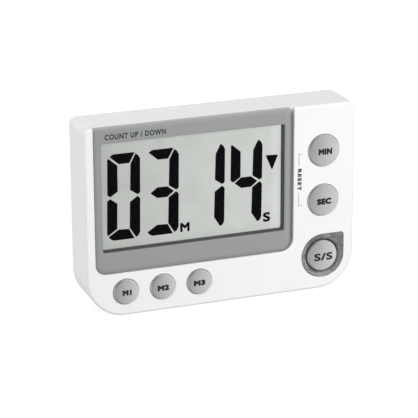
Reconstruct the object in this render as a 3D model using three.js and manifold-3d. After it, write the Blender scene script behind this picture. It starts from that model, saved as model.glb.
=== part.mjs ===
// Lab timer: an upright digital bench timer with a large display, six push
// buttons, an alarm light window and a fold-out stand.
// Units are millimetres. +Z is up, +X is to the right seen from the front and
// the front faces -Y. The origin is the centre of the footprint on the table.

import * as THREE from 'three';
import { mergeVertices } from 'three/addons/utils/BufferGeometryUtils.js';
import Module from 'manifold-3d';

const wasm = await Module();
wasm.setup();

// ---------------------------------------------------------------- dimensions

// housing
const W = 130;                 // width
const H = 89.2;                // height
const FRONT = -11.9;           // front face of the shell
const BACK = 13.1;             // back face of the shell
const PART = 6.1;              // parting plane between the two shells
const PART_GAP = 0.05;         // half the gap at the parting plane
const R_TOP = 3;               // top corners seen from the front
const R_BOT = 18;              // bottom corners seen from the front
const EDGE_FRONT = 1.2;        // rounding of the front edge
const EDGE_BACK = 2.7;         // rounding of the back edge
const WALL = 2.2;              // front shell walls
const WALL_REAR = 2.0;         // rear shell wall
const LIP_OUT = 2.4;           // rear shell's tongue, outer inset
const LIP_IN = 3.4;            // rear shell's tongue, inner inset

// bezel around the display
const BEZEL = { x0: -60.95, x1: 34.6, z0: 20.65, z1: H };
const BEZEL_R = { tl: 0.7, tr: 2.7, br: 5.8, bl: 5.0 };
const BEZEL_T = 1.8;
const SEAT_GAP = 0.15;         // side gap between a fitted part and its seat
const OPEN = { x0: -57.35, x1: 29.9, z0: 31.15, z1: 81.7 };
const OPEN_R = 1.0;
const SKIRT = 1.2;             // bezel wall that lines the display opening
const FLOOR_BACK = -8.5;       // back of the shell floor under the bezel

// display stack
const WINDOW = { x0: -60.4, x1: 32.4, z0: 28.4, z1: 84.4, y0: -8.4, y1: -7.4 };
const GLASS_F = { x0: -60.4, x1: 32.4, z0: 28.2, z1: 84.6, y0: -7.3, y1: -6.2 };
const GLASS_R = { x0: -60.4, x1: 32.4, z0: 31.0, z1: 81.8, y0: -6.15, y1: -5.05 };
const ZEBRA_X = [-48, 20];
const ZEBRA_Z = [[28.6, 30.4], [82.4, 84.2]];
const LCD_FRAME = { x0: -61.9, x1: 33.9, z0: 26.8, z1: 86.2, y0: -7.3, y1: -3.4 };

// circuit board
const PCB_Y = [-3.3, -2.1];
const PCB_INSET = 2.9;
const BOARD_SCREWS = [[39, 82.5], [59, 56], [8, 12], [-38.5, 23.2]];

// push buttons: centre x, z and radius
const BUTTONS = {
  min: { x: 49.37, z: 67.35, r: 7.65 },
  sec: { x: 49.35, z: 43.45, r: 7.65 },
  start_stop: { x: 49.2, z: 16.3, r: 7.5 },
  m1: { x: -47.13, z: 11.45, r: 6.03 },
  m2: { x: -29.46, z: 11.45, r: 6.03 },
  m3: { x: -11.82, z: 11.45, r: 6.03 },
};
const BUTTON_TOP = -13.1;      // crown of a button at rest
const BUTTON_GAP = 0.2;        // radial gap in the shell
const KEY_TOP = -7.2;          // top of a rubber key at rest

// alarm light window: a round body with one square corner
const LENS = { x: 49.6, z: 16.1, r: 10.5, corner: 1.5 };
const LED = { x: 57.0, z: 23.0 };

// shell screws
const SHELL_SCREWS = [[-59.2, 83.4], [59.2, 83.4], [-59, 30], [59, 30]];
const BOSS_R = 3.9;
const SHANK_R = 1.2;
const SCREW_HOLE_R = 1.45;

// battery bay, two AAA cells lying one above the other
const CELL_R = 5.25;
const CELL_L = 44.5;
const CELL_Y = 5.45;
const CELL_Z = [58.1, 69.2];
const BAY = { x: 25.6, z0: 52.45, z1: 74.85, floor: 0, wall: 1.2 };
const DOOR = { x: 28.2, z0: 49.9, z1: 77.6, y0: 11.5 };
const DOOR_PIVOT = { y: 12.3, z: 50.7 };

// fold-out stand
const STAND = { x: 24, z0: 4, y0: 10.6, y1: 12.8 };
const STAND_PIVOT = { y: 11.7, z: 44 };
const STAND_FLOOR = 9.88;
const STAND_HEEL = 1.5;

// magnets, sounder, selector
const MAGNETS = [[-46, 40], [46, 40]];
const MAGNET_R = 7;
const PIEZO = { x: 45.5, z: 68, r: 13.5 };
const SELECTOR = { x: -45, z: 66, travel: 4 };

// ------------------------------------------------------------------- helpers

function solid(geometry) {
  const g = geometry.clone();
  g.deleteAttribute('normal');
  g.deleteAttribute('uv');
  const m = mergeVertices(g, 1e-4);
  const pos = m.attributes.position.array;
  const idx = m.index.array;
  const tri = [];
  let volume = 0;
  for (let i = 0; i < idx.length; i += 3) {
    const [a, b, c] = [idx[i], idx[i + 1], idx[i + 2]];
    if (a === b || b === c || a === c) continue;
    tri.push(a, b, c);
    const p = (k, j) => pos[3 * k + j];
    volume += p(a, 0) * (p(b, 1) * p(c, 2) - p(b, 2) * p(c, 1))
      - p(a, 1) * (p(b, 0) * p(c, 2) - p(b, 2) * p(c, 0))
      + p(a, 2) * (p(b, 0) * p(c, 1) - p(b, 1) * p(c, 0));
  }
  if (volume < 0) {
    for (let i = 0; i < tri.length; i += 3) [tri[i], tri[i + 1]] = [tri[i + 1], tri[i]];
  }
  return new wasm.Manifold(new wasm.Mesh({
    numProp: 3,
    vertProperties: new Float32Array(pos),
    triVerts: new Uint32Array(tri),
  }));
}

function toGeometry(body) {
  const m = body.getMesh();
  const g = new THREE.BufferGeometry();
  g.setAttribute('position', new THREE.BufferAttribute(new Float32Array(m.vertProperties), 3));
  g.setIndex(new THREE.BufferAttribute(new Uint32Array(m.triVerts), 1));
  g.computeVertexNormals();
  return g;
}

const join = (...bodies) => bodies.reduce((a, b) => a.add(b));
const cut = (body, ...tools) => tools.reduce((a, b) => a.subtract(b), body);

function box(x0, x1, y0, y1, z0, z1) {
  const g = new THREE.BoxGeometry(x1 - x0, y1 - y0, z1 - z0);
  g.translate((x0 + x1) / 2, (y0 + y1) / 2, (z0 + z1) / 2);
  return solid(g);
}
const slab = (b, y0, y1) => box(b.x0, b.x1, y0, y1, b.z0, b.z1);

// round-cornered rectangle in the XZ plane
function rect(x0, x1, z0, z1, tl, tr, br, bl, segments = 6) {
  const s = new THREE.Shape();
  s.moveTo(x0 + bl, z0);
  s.lineTo(x1 - br, z0);
  if (br > 0) s.absarc(x1 - br, z0 + br, br, -Math.PI / 2, 0, false);
  s.lineTo(x1, z1 - tr);
  if (tr > 0) s.absarc(x1 - tr, z1 - tr, tr, 0, Math.PI / 2, false);
  s.lineTo(x0 + tl, z1);
  if (tl > 0) s.absarc(x0 + tl, z1 - tl, tl, Math.PI / 2, Math.PI, false);
  s.lineTo(x0, z0 + bl);
  if (bl > 0) s.absarc(x0 + bl, z0 + bl, bl, Math.PI, 1.5 * Math.PI, false);
  return tidy(s, segments);
}

// the same outline as plain points, with coincident ones removed
function tidy(shape, segments) {
  const out = [];
  for (const p of shape.getPoints(segments)) {
    if (!out.length || out[out.length - 1].distanceTo(p) > 1e-3) out.push(p);
  }
  if (out[0].distanceTo(out[out.length - 1]) < 1e-3) out.pop();
  return new THREE.Shape(out);
}

// housing outline moved inwards by d
function outline(d, segments = 6) {
  const rt = Math.max(R_TOP - d, 0.4);
  const rb = R_BOT - d;
  return rect(-W / 2 + d, W / 2 - d, d, H - d, rt, rt, rb, rb, segments);
}

// an XZ outline thickened along Y, its rims rounded by bevel where given
function plate(shape, y0, y1, bevel = 0, bevelSegments = 2) {
  const g = new THREE.ExtrudeGeometry(shape, {
    depth: y1 - y0 - 2 * bevel,
    bevelEnabled: bevel > 0,
    bevelThickness: bevel,
    bevelSize: bevel,
    bevelOffset: -bevel,
    bevelSegments,
    curveSegments: 8,
  });
  g.rotateX(Math.PI / 2);
  g.translate(0, y1 - bevel, 0);
  return solid(g);
}

// a turned body about a line along Y; profile is [radius, y] from axis to axis
function turned(profile, segments = 24) {
  return solid(new THREE.LatheGeometry(profile.map(([r, y]) => new THREE.Vector2(r, y)), segments));
}

// a round bar or hole along Y
function rod(x, z, r, y0, y1, segments = 20) {
  const g = new THREE.CylinderGeometry(r, r, y1 - y0, segments);
  g.translate(x, (y0 + y1) / 2, z);
  return solid(g);
}

// a round bar or hole along X
function axle(x0, x1, y, z, r, segments = 16) {
  const g = new THREE.CylinderGeometry(r, r, x1 - x0, segments);
  g.rotateZ(Math.PI / 2);
  g.translate((x0 + x1) / 2, y, z);
  return solid(g);
}

// a YZ outline thickened along X
function prismX(points, x0, x1) {
  const s = new THREE.Shape(points.map(([y, z]) => new THREE.Vector2(y, z)));
  const g = new THREE.ExtrudeGeometry(s, { depth: x1 - x0, bevelEnabled: false });
  // local x -> y, local y -> z, local z -> x
  g.applyMatrix4(new THREE.Matrix4().set(0, 0, 1, x0, 1, 0, 0, 0, 0, 1, 0, 0, 0, 0, 0, 1));
  return solid(g);
}

// a round wire along a curve
function wire(curve, r, steps, sides = 6) {
  const s = new THREE.Shape();
  for (let i = 0; i < sides; i++) {
    const a = (2 * Math.PI * i) / sides;
    if (i) s.lineTo(r * Math.cos(a), r * Math.sin(a));
    else s.moveTo(r, 0);
  }
  return solid(new THREE.ExtrudeGeometry(s, { steps, bevelEnabled: false, extrudePath: curve }));
}

class Coil extends THREE.Curve {
  constructor(x0, x1, y, z, r0, r1, turns) {
    super();
    Object.assign(this, { x0, x1, y, z, r0, r1, turns });
  }

  getPoint(t, target = new THREE.Vector3()) {
    const a = 2 * Math.PI * this.turns * t;
    const r = this.r0 + (this.r1 - this.r0) * t;
    return target.set(
      this.x0 + (this.x1 - this.x0) * t,
      this.y + r * Math.cos(a),
      this.z + r * Math.sin(a),
    );
  }
}

const timer = new THREE.Group();
function group(parent = timer) {
  const g = new THREE.Group();
  parent.add(g);
  return g;
}
function add(parent, name, body, material, position) {
  const mesh = new THREE.Mesh(toGeometry(body), material());
  mesh.name = name;
  if (position) mesh.position.set(...position);
  parent.add(mesh);
  return mesh;
}
const finish = (color, roughness, metalness = 0, extra = {}) => () => (
  new THREE.MeshStandardMaterial({ color, roughness, metalness, ...extra }));

const WHITE = finish(0xf1f2f2, 0.38);
const GREY = finish(0x9aa09c, 0.5);
const SILVER = finish(0xb4b6b8, 0.4, 0.25);
const CLEAR = finish(0xe8eeee, 0.05, 0, { transparent: true, opacity: 0.25 });
const SMOKE = finish(0x6d6468, 0.08, 0, { transparent: true, opacity: 0.6 });
const LCD = finish(0xc3c8c2, 0.3);
const FRAME = finish(0xdcdcd6, 0.6);
const ZEBRA = finish(0x2b2b2b, 0.8);
const BOARD = finish(0x2f6b3c, 0.55);
const EPOXY = finish(0x101010, 0.35);
const RUBBER = finish(0xb9bdbc, 0.75);
const BRASS = finish(0xc9a658, 0.35, 1);
const STEEL = finish(0xb8bcc0, 0.3, 1);
const NICKEL = finish(0xd0d2d2, 0.2, 1);
const RED = finish(0xc02020, 0.5);
const BLACK = finish(0x181818, 0.5);
const LED_RED = finish(0xd63a30, 0.15, 0, { transparent: true, opacity: 0.7 });
const CELL = finish(0x3c5a7a, 0.35, 0.3);

// ---------------------------------------------------------------- front shell

const caseGroup = group();
const lensOutline = (grow) => {
  const s = new THREE.Shape();
  const { x, z, r, corner } = LENS;
  const R = r + grow;
  const c = corner + grow;
  s.moveTo(x + R, z);
  s.lineTo(x + R, z + R - c);
  s.absarc(x + R - c, z + R - c, c, 0, Math.PI / 2, false);
  s.lineTo(x, z + R);
  s.absarc(x, z, R, Math.PI / 2, 2 * Math.PI, false);
  return tidy(s, 12);
};
const bezelOutline = (grow, top = BEZEL.z1) => rect(
  BEZEL.x0 - grow, BEZEL.x1 + grow, BEZEL.z0 - grow, top,
  BEZEL_R.tl + grow, BEZEL_R.tr + grow, BEZEL_R.br + grow, BEZEL_R.bl + grow,
);
const openOutline = (grow) => rect(
  OPEN.x0 - grow, OPEN.x1 + grow, OPEN.z0 - grow, OPEN.z1 + grow,
  OPEN_R + grow, OPEN_R + grow, OPEN_R + grow, OPEN_R + grow, 3,
);

const skin = plate(outline(0), FRONT, 30, EDGE_FRONT);
let front = skin.intersect(box(-80, 80, -40, PART - PART_GAP, -10, 110));
front = cut(front, plate(outline(WALL), FRONT + WALL, 20));
// thicker floor under the bezel
front = join(front, box(-W / 2 + 1, BEZEL.x1 + 1.4, FRONT + WALL - 0.3, FLOOR_BACK, BEZEL.z0 - 1.3, H - 1));
// posts for the circuit board
for (const [x, z] of BOARD_SCREWS) front = join(front, rod(x, z, 2.6, FRONT + WALL - 0.3, PCB_Y[0] - 0.05, 12));
// side bosses for the shell screws
for (const [x, z] of SHELL_SCREWS) front = join(front, rod(x, z, BOSS_R, -1.5, PART - PART_GAP, 14));
// seat of the bezel and the display opening
const seatTop = rect(
  BEZEL.x0 - SEAT_GAP, BEZEL.x1 + SEAT_GAP, BEZEL.z0 - SEAT_GAP, H + 5,
  0.2, 0.2, BEZEL_R.br + SEAT_GAP, BEZEL_R.bl + SEAT_GAP,
);
front = cut(front, plate(seatTop, FRONT - 5, FRONT + BEZEL_T + 0.1));
front = cut(front, plate(openOutline(SKIRT + SEAT_GAP), FRONT - 5, FLOOR_BACK + 1));
// the button holes and the light window
for (const [name, b] of Object.entries(BUTTONS)) {
  if (name !== 'start_stop') front = cut(front, rod(b.x, b.z, b.r + BUTTON_GAP, FRONT - 5, FRONT + WALL + 1, 24));
}
front = cut(front, plate(lensOutline(SEAT_GAP), FRONT - 5, FRONT + WALL + 1));
for (const [x, z] of BOARD_SCREWS) front = cut(front, rod(x, z, SCREW_HOLE_R, -8.3, 0, 10));
for (const [x, z] of SHELL_SCREWS) front = cut(front, rod(x, z, SCREW_HOLE_R, -0.9, 10, 10));
add(caseGroup, 'front_shell', front, WHITE);

// ---------------------------------------------------------------------- bezel

let bezel = plate(bezelOutline(0, H), FRONT, FRONT + BEZEL_T).intersect(skin);
bezel = join(bezel, plate(openOutline(SKIRT), FRONT + 1, FLOOR_BACK));
bezel = cut(bezel, plate(openOutline(0), FRONT - 5, 0));
add(caseGroup, 'bezel', bezel, GREY);

// ----------------------------------------------------------------- rear shell

let rear = plate(outline(0), -30, BACK, EDGE_BACK, 3).intersect(box(-80, 80, PART + PART_GAP, 40, -10, 110));
rear = cut(rear, plate(outline(WALL_REAR), 7.6, BACK - WALL_REAR));
rear = join(rear, plate(outline(LIP_OUT), 4.6, 7.0));
rear = cut(rear, plate(outline(LIP_IN), 0, 7.8));
for (const [x, z] of SHELL_SCREWS) {
  rear = cut(rear, rod(x, z, BOSS_R + 0.3, 0, PART + PART_GAP, 14));
  rear = join(rear, rod(x, z, BOSS_R, PART + PART_GAP, BACK - 1, 14));
  // the post runs into the side wall, and at the top into the corner
  const side = Math.sign(x) * 64;
  rear = join(rear, box(Math.min(x, side), Math.max(x, side), PART + PART_GAP + 0.35, BACK - 1.9, z - 1.7, z > 60 ? H - 1.5 : z + 1.7));
}
// blocks inside the back wall
rear = join(
  rear,
  box(-BAY.x - BAY.wall, BAY.x + BAY.wall, BAY.floor - BAY.wall, BACK - 1, BAY.z0 - BAY.wall, BAY.z1 + BAY.wall),
  box(-DOOR.x - 2, DOOR.x + 2, 9.6, BACK - 1, DOOR.z0 - 1.8, DOOR.z1 + 1.8),
  box(-STAND.x - 4.4, STAND.x + 4.4, STAND_FLOOR - 1.6, BACK - 1, 1, STAND_PIVOT.z + 3.9),
  rod(PIEZO.x, PIEZO.z, PIEZO.r + 1.5, 8.0, BACK - 1, 24),
);
for (const [x, z] of MAGNETS) rear = join(rear, rod(x, z, MAGNET_R + 1.4, 9.4, BACK - 1, 16));
// battery bay, door seat and door pivots
rear = cut(
  rear,
  box(-BAY.x, BAY.x, BAY.floor, BACK + 5, BAY.z0, BAY.z1),
  plate(rect(-DOOR.x - 0.3, DOOR.x + 0.3, DOOR.z0 - 0.3, DOOR.z1 + 0.3, 1.6, 1.6, 0.4, 0.4, 3), DOOR.y0 - 0.2, BACK + 5),
  axle(-DOOR.x - 1.6, DOOR.x + 1.6, DOOR_PIVOT.y, DOOR_PIVOT.z, 0.75, 12),
  // thumb scoop over the latch
  plate(rect(-6, 6, DOOR.z1 - 1, DOOR.z1 + 2.6, 2.5, 2.5, 0, 0, 3), BACK - 1.3, BACK + 5),
  // slots for the two contact tails
  box(BAY.x - 1, BAY.x + 3, 6.4, 7.6, CELL_Z[0] - 1.6, CELL_Z[0] + 1.6),
  box(BAY.x - 1, BAY.x + 3, 6.4, 7.6, CELL_Z[1] - 1.6, CELL_Z[1] + 1.6),
);
// stand seat and pivots
rear = cut(
  rear,
  box(-STAND.x - 0.4, STAND.x + 0.4, STAND_FLOOR, BACK + 5, STAND.z0 - 0.5, STAND_PIVOT.z + STAND_HEEL + 0.6),
  axle(-STAND.x - 3, STAND.x + 3, STAND_PIVOT.y, STAND_PIVOT.z, 1.35, 16),
);
// magnet pockets
for (const [x, z] of MAGNETS) rear = cut(rear, rod(x, z, MAGNET_R + 0.2, 10.9, BACK + 5, 20));
// sounder seat and sound holes
rear = cut(
  rear,
  rod(PIEZO.x, PIEZO.z, PIEZO.r + 0.25, 0, 8.95, 24),
  rod(PIEZO.x, PIEZO.z, PIEZO.r - 1.1, 0, BACK - WALL_REAR, 24),
);
for (let i = 0; i < 7; i++) {
  const a = (i * Math.PI) / 3;
  const d = i === 6 ? 0 : 5.5;
  rear = cut(rear, rod(PIEZO.x + d * Math.cos(a), PIEZO.z + d * Math.sin(a), 1.1, 9, BACK + 5, 8));
}
// selector slot in a shallow dish
rear = cut(
  rear,
  plate(rect(SELECTOR.x - 4.5, SELECTOR.x + 4.5, SELECTOR.z - 6, SELECTOR.z + SELECTOR.travel + 6, 2, 2, 2, 2, 3), BACK - 1, BACK + 5),
  box(SELECTOR.x - 2.7, SELECTOR.x + 2.7, 8, BACK + 5, SELECTOR.z - 2.8, SELECTOR.z + SELECTOR.travel + 2.8),
);
// screw holes with counterbores for the heads
for (const [x, z] of SHELL_SCREWS) {
  rear = cut(rear, rod(x, z, SCREW_HOLE_R, 0, BACK + 5, 10), rod(x, z, 2.7, 9.3, BACK + 5, 12));
}
add(caseGroup, 'rear_shell', rear, WHITE);

// -------------------------------------------------------------- display stack

const display = group();
add(display, 'display_window', slab(WINDOW, WINDOW.y0, WINDOW.y1), CLEAR);
add(display, 'lcd_front_glass', slab(GLASS_F, GLASS_F.y0, GLASS_F.y1), LCD);
add(display, 'lcd_rear_glass', slab(GLASS_R, GLASS_R.y0, GLASS_R.y1), LCD);

let lcdFrame = slab(LCD_FRAME, LCD_FRAME.y0, LCD_FRAME.y1);
lcdFrame = cut(
  lcdFrame,
  box(GLASS_F.x0 - 0.15, GLASS_F.x1 + 0.15, -9, GLASS_F.y1 + 0.05, GLASS_F.z0 - 0.15, GLASS_F.z1 + 0.15),
  box(GLASS_R.x0 - 0.15, GLASS_R.x1 + 0.15, -9, 0, GLASS_R.z0 - 0.15, GLASS_R.z1 + 0.15),
);
for (const [z0, z1] of ZEBRA_Z) {
  lcdFrame = cut(lcdFrame, box(ZEBRA_X[0] - 0.15, ZEBRA_X[1] + 0.15, -9, 0, z0 - 0.15, z1 + 0.15));
}
add(display, 'lcd_frame', lcdFrame, FRAME);
const ZEBRA_NAMES = ['zebra_strip_bottom', 'zebra_strip_top'];
ZEBRA_Z.forEach(([z0, z1], i) => {
  add(display, ZEBRA_NAMES[i], box(ZEBRA_X[0], ZEBRA_X[1], GLASS_F.y1 + 0.05, PCB_Y[0] - 0.05, z0, z1), ZEBRA);
});

// -------------------------------------------------------------- circuit board

const electronics = group();
let pcb = plate(outline(PCB_INSET, 6), PCB_Y[0], PCB_Y[1]);
for (const [x, z] of SHELL_SCREWS) {
  pcb = cut(pcb, rod(x, z, BOSS_R + 0.5, -10, 5, 16), box(x > 0 ? x : -80, x > 0 ? 80 : x, -10, 5, z - BOSS_R - 0.5, z + BOSS_R + 0.5));
}
pcb = cut(pcb, box(-80, -59.2, -10, 5, 80, 100), box(59.2, 80, -10, 5, 80, 100));
for (const [x, z] of BOARD_SCREWS) pcb = cut(pcb, rod(x, z, SCREW_HOLE_R, -10, 5, 12));
add(electronics, 'main_pcb', pcb, BOARD);

add(electronics, 'chip_blob', turned([
  [0, PCB_Y[1] + 0.05], [7.0, PCB_Y[1] + 0.05], [6.2, -1.3], [4.2, -0.7], [0, -0.45],
], 20), EPOXY, [-43, 0, 44]);

add(electronics, 'clock_crystal', axle(-51.5, -45.5, -0.95, 33, 1.0, 12), STEEL);

add(electronics, 'alarm_led', turned([
  [0, PCB_Y[0] - 0.05], [1.9, PCB_Y[0] - 0.05], [1.9, -4.3], [1.5, -4.3], [1.5, -6.4], [1.1, -7.4], [0, -7.9],
], 16), LED_RED, [LED.x, 0, LED.z]);

// slide switch under the selector knob
let switchBody = box(SELECTOR.x - 3, SELECTOR.x + 3, PCB_Y[1] + 0.05, 2.6, SELECTOR.z - 4.5, SELECTOR.z + SELECTOR.travel + 4.5);
switchBody = cut(switchBody, box(SELECTOR.x - 1.3, SELECTOR.x + 1.3, 0.6, 5, SELECTOR.z - 1.3, SELECTOR.z + SELECTOR.travel + 1.3));
add(electronics, 'selector_switch', switchBody, STEEL);
const selector = join(
  box(-1, 1, 0.9, 9.6, -1, 1),
  box(-4, 4, 9.4, 10.8, -7.1, 7.1),
  box(-2.4, 2.4, 10.5, 12.2, -2.5, 2.5),
  box(-2.4, 2.4, 12, 12.9, -2.5, -1.5),
  box(-2.4, 2.4, 12, 12.9, -0.5, 0.5),
  box(-2.4, 2.4, 12, 12.9, 1.5, 2.5),
);
add(electronics, 'selector_knob', selector, BLACK, [SELECTOR.x, 0, SELECTOR.z]);

// sounder: a thin metal disc with a ceramic layer on its inner side
add(electronics, 'piezo_disc', turned([
  [0, 8.3], [10, 8.3], [10, 8.6], [PIEZO.r, 8.6], [PIEZO.r, 8.9], [0, 8.9],
], 24), BRASS, [PIEZO.x, 0, PIEZO.z]);

const lead = (points) => new THREE.CatmullRomCurve3(points.map((p) => new THREE.Vector3(...p)));
add(electronics, 'piezo_wire_a', wire(lead([[41, 7.4, 64], [40.5, 5.5, 62], [38, 1.5, 58], [36, -1.3, 55.5]]), 0.55, 9), RED);
add(electronics, 'piezo_wire_b', wire(lead([[50, 7.4, 56.8], [48, 5.5, 55], [43, 1.5, 52], [39, -1.3, 49.5]]), 0.55, 9), BLACK);

// ------------------------------------------------------------- battery supply

const power = group();
const cellBody = turned([
  [0, 0], [4.6, 0], [CELL_R, 0.5], [CELL_R, CELL_L - 1.5], [4.7, CELL_L - 1.0],
  [1.9, CELL_L - 1.0], [1.9, CELL_L], [0, CELL_L],
], 20);
const upper = add(power, 'cell_upper', cellBody, CELL, [-20.6, CELL_Y, CELL_Z[1]]);
upper.rotation.z = -Math.PI / 2;
const lower = add(power, 'cell_lower', cellBody, CELL, [20.6, CELL_Y, CELL_Z[0]]);
lower.rotation.z = Math.PI / 2;

const spring = (x0, x1, z) => wire(new Coil(x0, x1, CELL_Y, z, 3.4, 2.2, 3.5), 0.35, 28, 5);
add(power, 'bridge_contact', join(
  box(-25.4, -25.0, 1.2, 9.3, 53.2, 74.1),
  axle(-25.1, -24.1, CELL_Y, CELL_Z[0], 1.6, 12),
  spring(-25.2, -21.3, CELL_Z[1]),
), NICKEL);
add(power, 'positive_contact', join(
  box(25.0, 25.4, 1.2, 9.3, 64.4, 74.1),
  axle(24.1, 25.1, CELL_Y, CELL_Z[1], 1.6, 12),
  box(25.2, 28.6, 6.8, 7.2, CELL_Z[1] - 1.2, CELL_Z[1] + 1.2),
), NICKEL);
add(power, 'negative_contact', join(
  box(25.0, 25.4, 1.2, 9.3, 53.2, 62.9),
  spring(25.2, 21.3, CELL_Z[0]),
  box(25.2, 28.6, 6.8, 7.2, CELL_Z[0] - 1.2, CELL_Z[0] + 1.2),
), NICKEL);
add(power, 'battery_wire_red', wire(lead([[29.4, 7, 69.2], [30.6, 5, 68.6], [32.5, 1.5, 66.5], [33.5, -1.3, 64]]), 0.6, 9), RED);
add(power, 'battery_wire_black', wire(lead([[29.4, 7, 58.1], [30.4, 5, 56.8], [31, 1.5, 53], [31.5, -1.3, 50]]), 0.6, 9), BLACK);

// battery door: turns about its lower edge, with a sprung latch at the top
const doorPivotR = BACK - DOOR_PIVOT.y;
let door = plate(rect(-DOOR.x, DOOR.x, DOOR_PIVOT.z, DOOR.z1, 1.4, 1.4, 0, 0, 3), DOOR.y0, BACK);
door = join(
  door,
  axle(-DOOR.x, DOOR.x, DOOR_PIVOT.y, DOOR_PIVOT.z, doorPivotR, 16),
  axle(-DOOR.x - 1.3, DOOR.x + 1.3, DOOR_PIVOT.y, DOOR_PIVOT.z, 0.5, 12),
  // locating rib inside the bay mouth
  box(-BAY.x + 0.6, BAY.x - 0.6, 10.9, DOOR.y0 + 0.2, BAY.z0 + 6, BAY.z0 + 7.2),
);
// two slots free the latch tongue, and grip grooves run across it
door = cut(
  door,
  box(-6.2, -5.4, 10, 14, DOOR.z1 - 7, DOOR.z1 + 1),
  box(5.4, 6.2, 10, 14, DOOR.z1 - 7, DOOR.z1 + 1),
);
for (let i = 0; i < 3; i++) door = cut(door, box(-4, 4, BACK - 0.45, 14, DOOR.z1 - 2.2 - i * 1.7, DOOR.z1 - 1.4 - i * 1.7));
add(power, 'battery_door', door, WHITE);

// ---------------------------------------------------------------------- stand

const standSide = [
  [STAND.y0, STAND.z0 + 0.6], [STAND.y0 + 0.6, STAND.z0], [STAND.y1 - 0.6, STAND.z0],
  [STAND.y1, STAND.z0 + 0.6], [STAND.y1, STAND_PIVOT.z + 0.5], [STAND_PIVOT.y, STAND_PIVOT.z + STAND_HEEL],
  [STAND.y0, STAND_PIVOT.z + STAND_HEEL],
];
let stand = prismX(standSide, -STAND.x, STAND.x);
stand = join(stand, axle(-STAND.x - 2.4, STAND.x + 2.4, STAND_PIVOT.y, STAND_PIVOT.z, 1.1, 16));
stand = cut(
  stand,
  rod(0, STAND.z0 - 1.5, 6.5, 9, 15, 24),
  box(-17, 17, STAND.y1 - 0.5, 15, 14, 38),
);
for (let i = 0; i < 4; i++) {
  const x = -10.2 + i * 6.8;
  stand = join(stand, box(x - 0.6, x + 0.6, STAND.y1 - 0.7, STAND.y1, 13.9, 38.1));
}
add(caseGroup, 'stand', stand, WHITE);

// -------------------------------------------------------------------- magnets

MAGNETS.forEach(([x, z], i) => {
  add(caseGroup, i ? 'magnet_right' : 'magnet_left', turned([
    [0, 11.0], [MAGNET_R - 0.3, 11.0], [MAGNET_R, 11.3], [MAGNET_R, 12.7], [MAGNET_R - 0.3, 13.0], [0, 13.0],
  ], 20), STEEL, [x, 0, z]);
});

// ---------------------------------------------------------------- alarm light

let lens = plate(lensOutline(0), FRONT, FRONT + WALL + 0.3);
lens = join(lens, plate(lensOutline(0.9), FRONT + WALL + 0.1, FRONT + WALL + 1.1));
lens = cut(lens, rod(BUTTONS.start_stop.x, BUTTONS.start_stop.z, BUTTONS.start_stop.r + BUTTON_GAP, -20, 0, 24));
add(caseGroup, 'alarm_lens', lens, SMOKE);

// -------------------------------------------------------------------- buttons

const keys = group();
for (const [name, b] of Object.entries(BUTTONS)) {
  const isStart = name === 'start_stop';
  const f0 = isStart ? -8.2 : -9.4;       // front of the retaining flange
  const fr = b.r + (isStart ? 0.8 : 1.2);
  add(keys, `${name}_button`, turned([
    [0, BUTTON_TOP], [b.r * 0.55, BUTTON_TOP + 0.12], [b.r - 0.7, BUTTON_TOP + 0.4],
    [b.r - 0.15, BUTTON_TOP + 0.65], [b.r, BUTTON_TOP + 1.05], [b.r, f0], [fr, f0],
    [fr, f0 + 0.9], [b.r - 1.4, f0 + 0.9], [b.r - 1.4, -11.2], [3.0, -11.2], [3.0, KEY_TOP - 0.1], [0, KEY_TOP - 0.1],
  ], b.r > 7 ? 24 : 20), SILVER, [b.x, 0, b.z]);
  add(keys, `${name}_rubber_key`, turned([
    [0, KEY_TOP], [3.0, KEY_TOP], [3.3, -5.6], [5.2, -4.1], [5.6, PCB_Y[0] - 0.05],
    [4.5, PCB_Y[0] - 0.05], [4.1, -3.9], [2.4, -4.7], [0, -4.7],
  ], 12), RUBBER, [b.x, 0, b.z]);
}

// ------------------------------------------------------------------ fasteners

const fasteners = group();
// a pan-head screw whose head bears on y = 0 and whose shank runs to -Y
function screw(headR, headH, length) {
  const body = turned([
    [0, headH], [headR * 0.6, headH], [headR, headH * 0.5], [headR, 0],
    [SHANK_R, 0], [SHANK_R, -length + 1], [0, -length],
  ], 10);
  return cut(
    body,
    box(-headR * 0.55, headR * 0.55, headH * 0.45, headH + 1, -0.25, 0.25),
    box(-0.25, 0.25, headH * 0.45, headH + 1, -headR * 0.55, headR * 0.55),
  );
}
const shellScrew = screw(2.4, 1.6, 9.8);
SHELL_SCREWS.forEach(([x, z], i) => add(fasteners, `shell_screw_${i + 1}`, shellScrew, STEEL, [x, 9.35, z]));
const boardScrew = screw(2.2, 1.3, 5.6);
BOARD_SCREWS.forEach(([x, z], i) => add(fasteners, `board_screw_${i + 1}`, boardScrew, STEEL, [x, PCB_Y[1] + 0.05, z]));

export default timer;
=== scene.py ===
import math
import bpy
import bmesh
import numpy as np
from mathutils import Matrix, Vector


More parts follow.
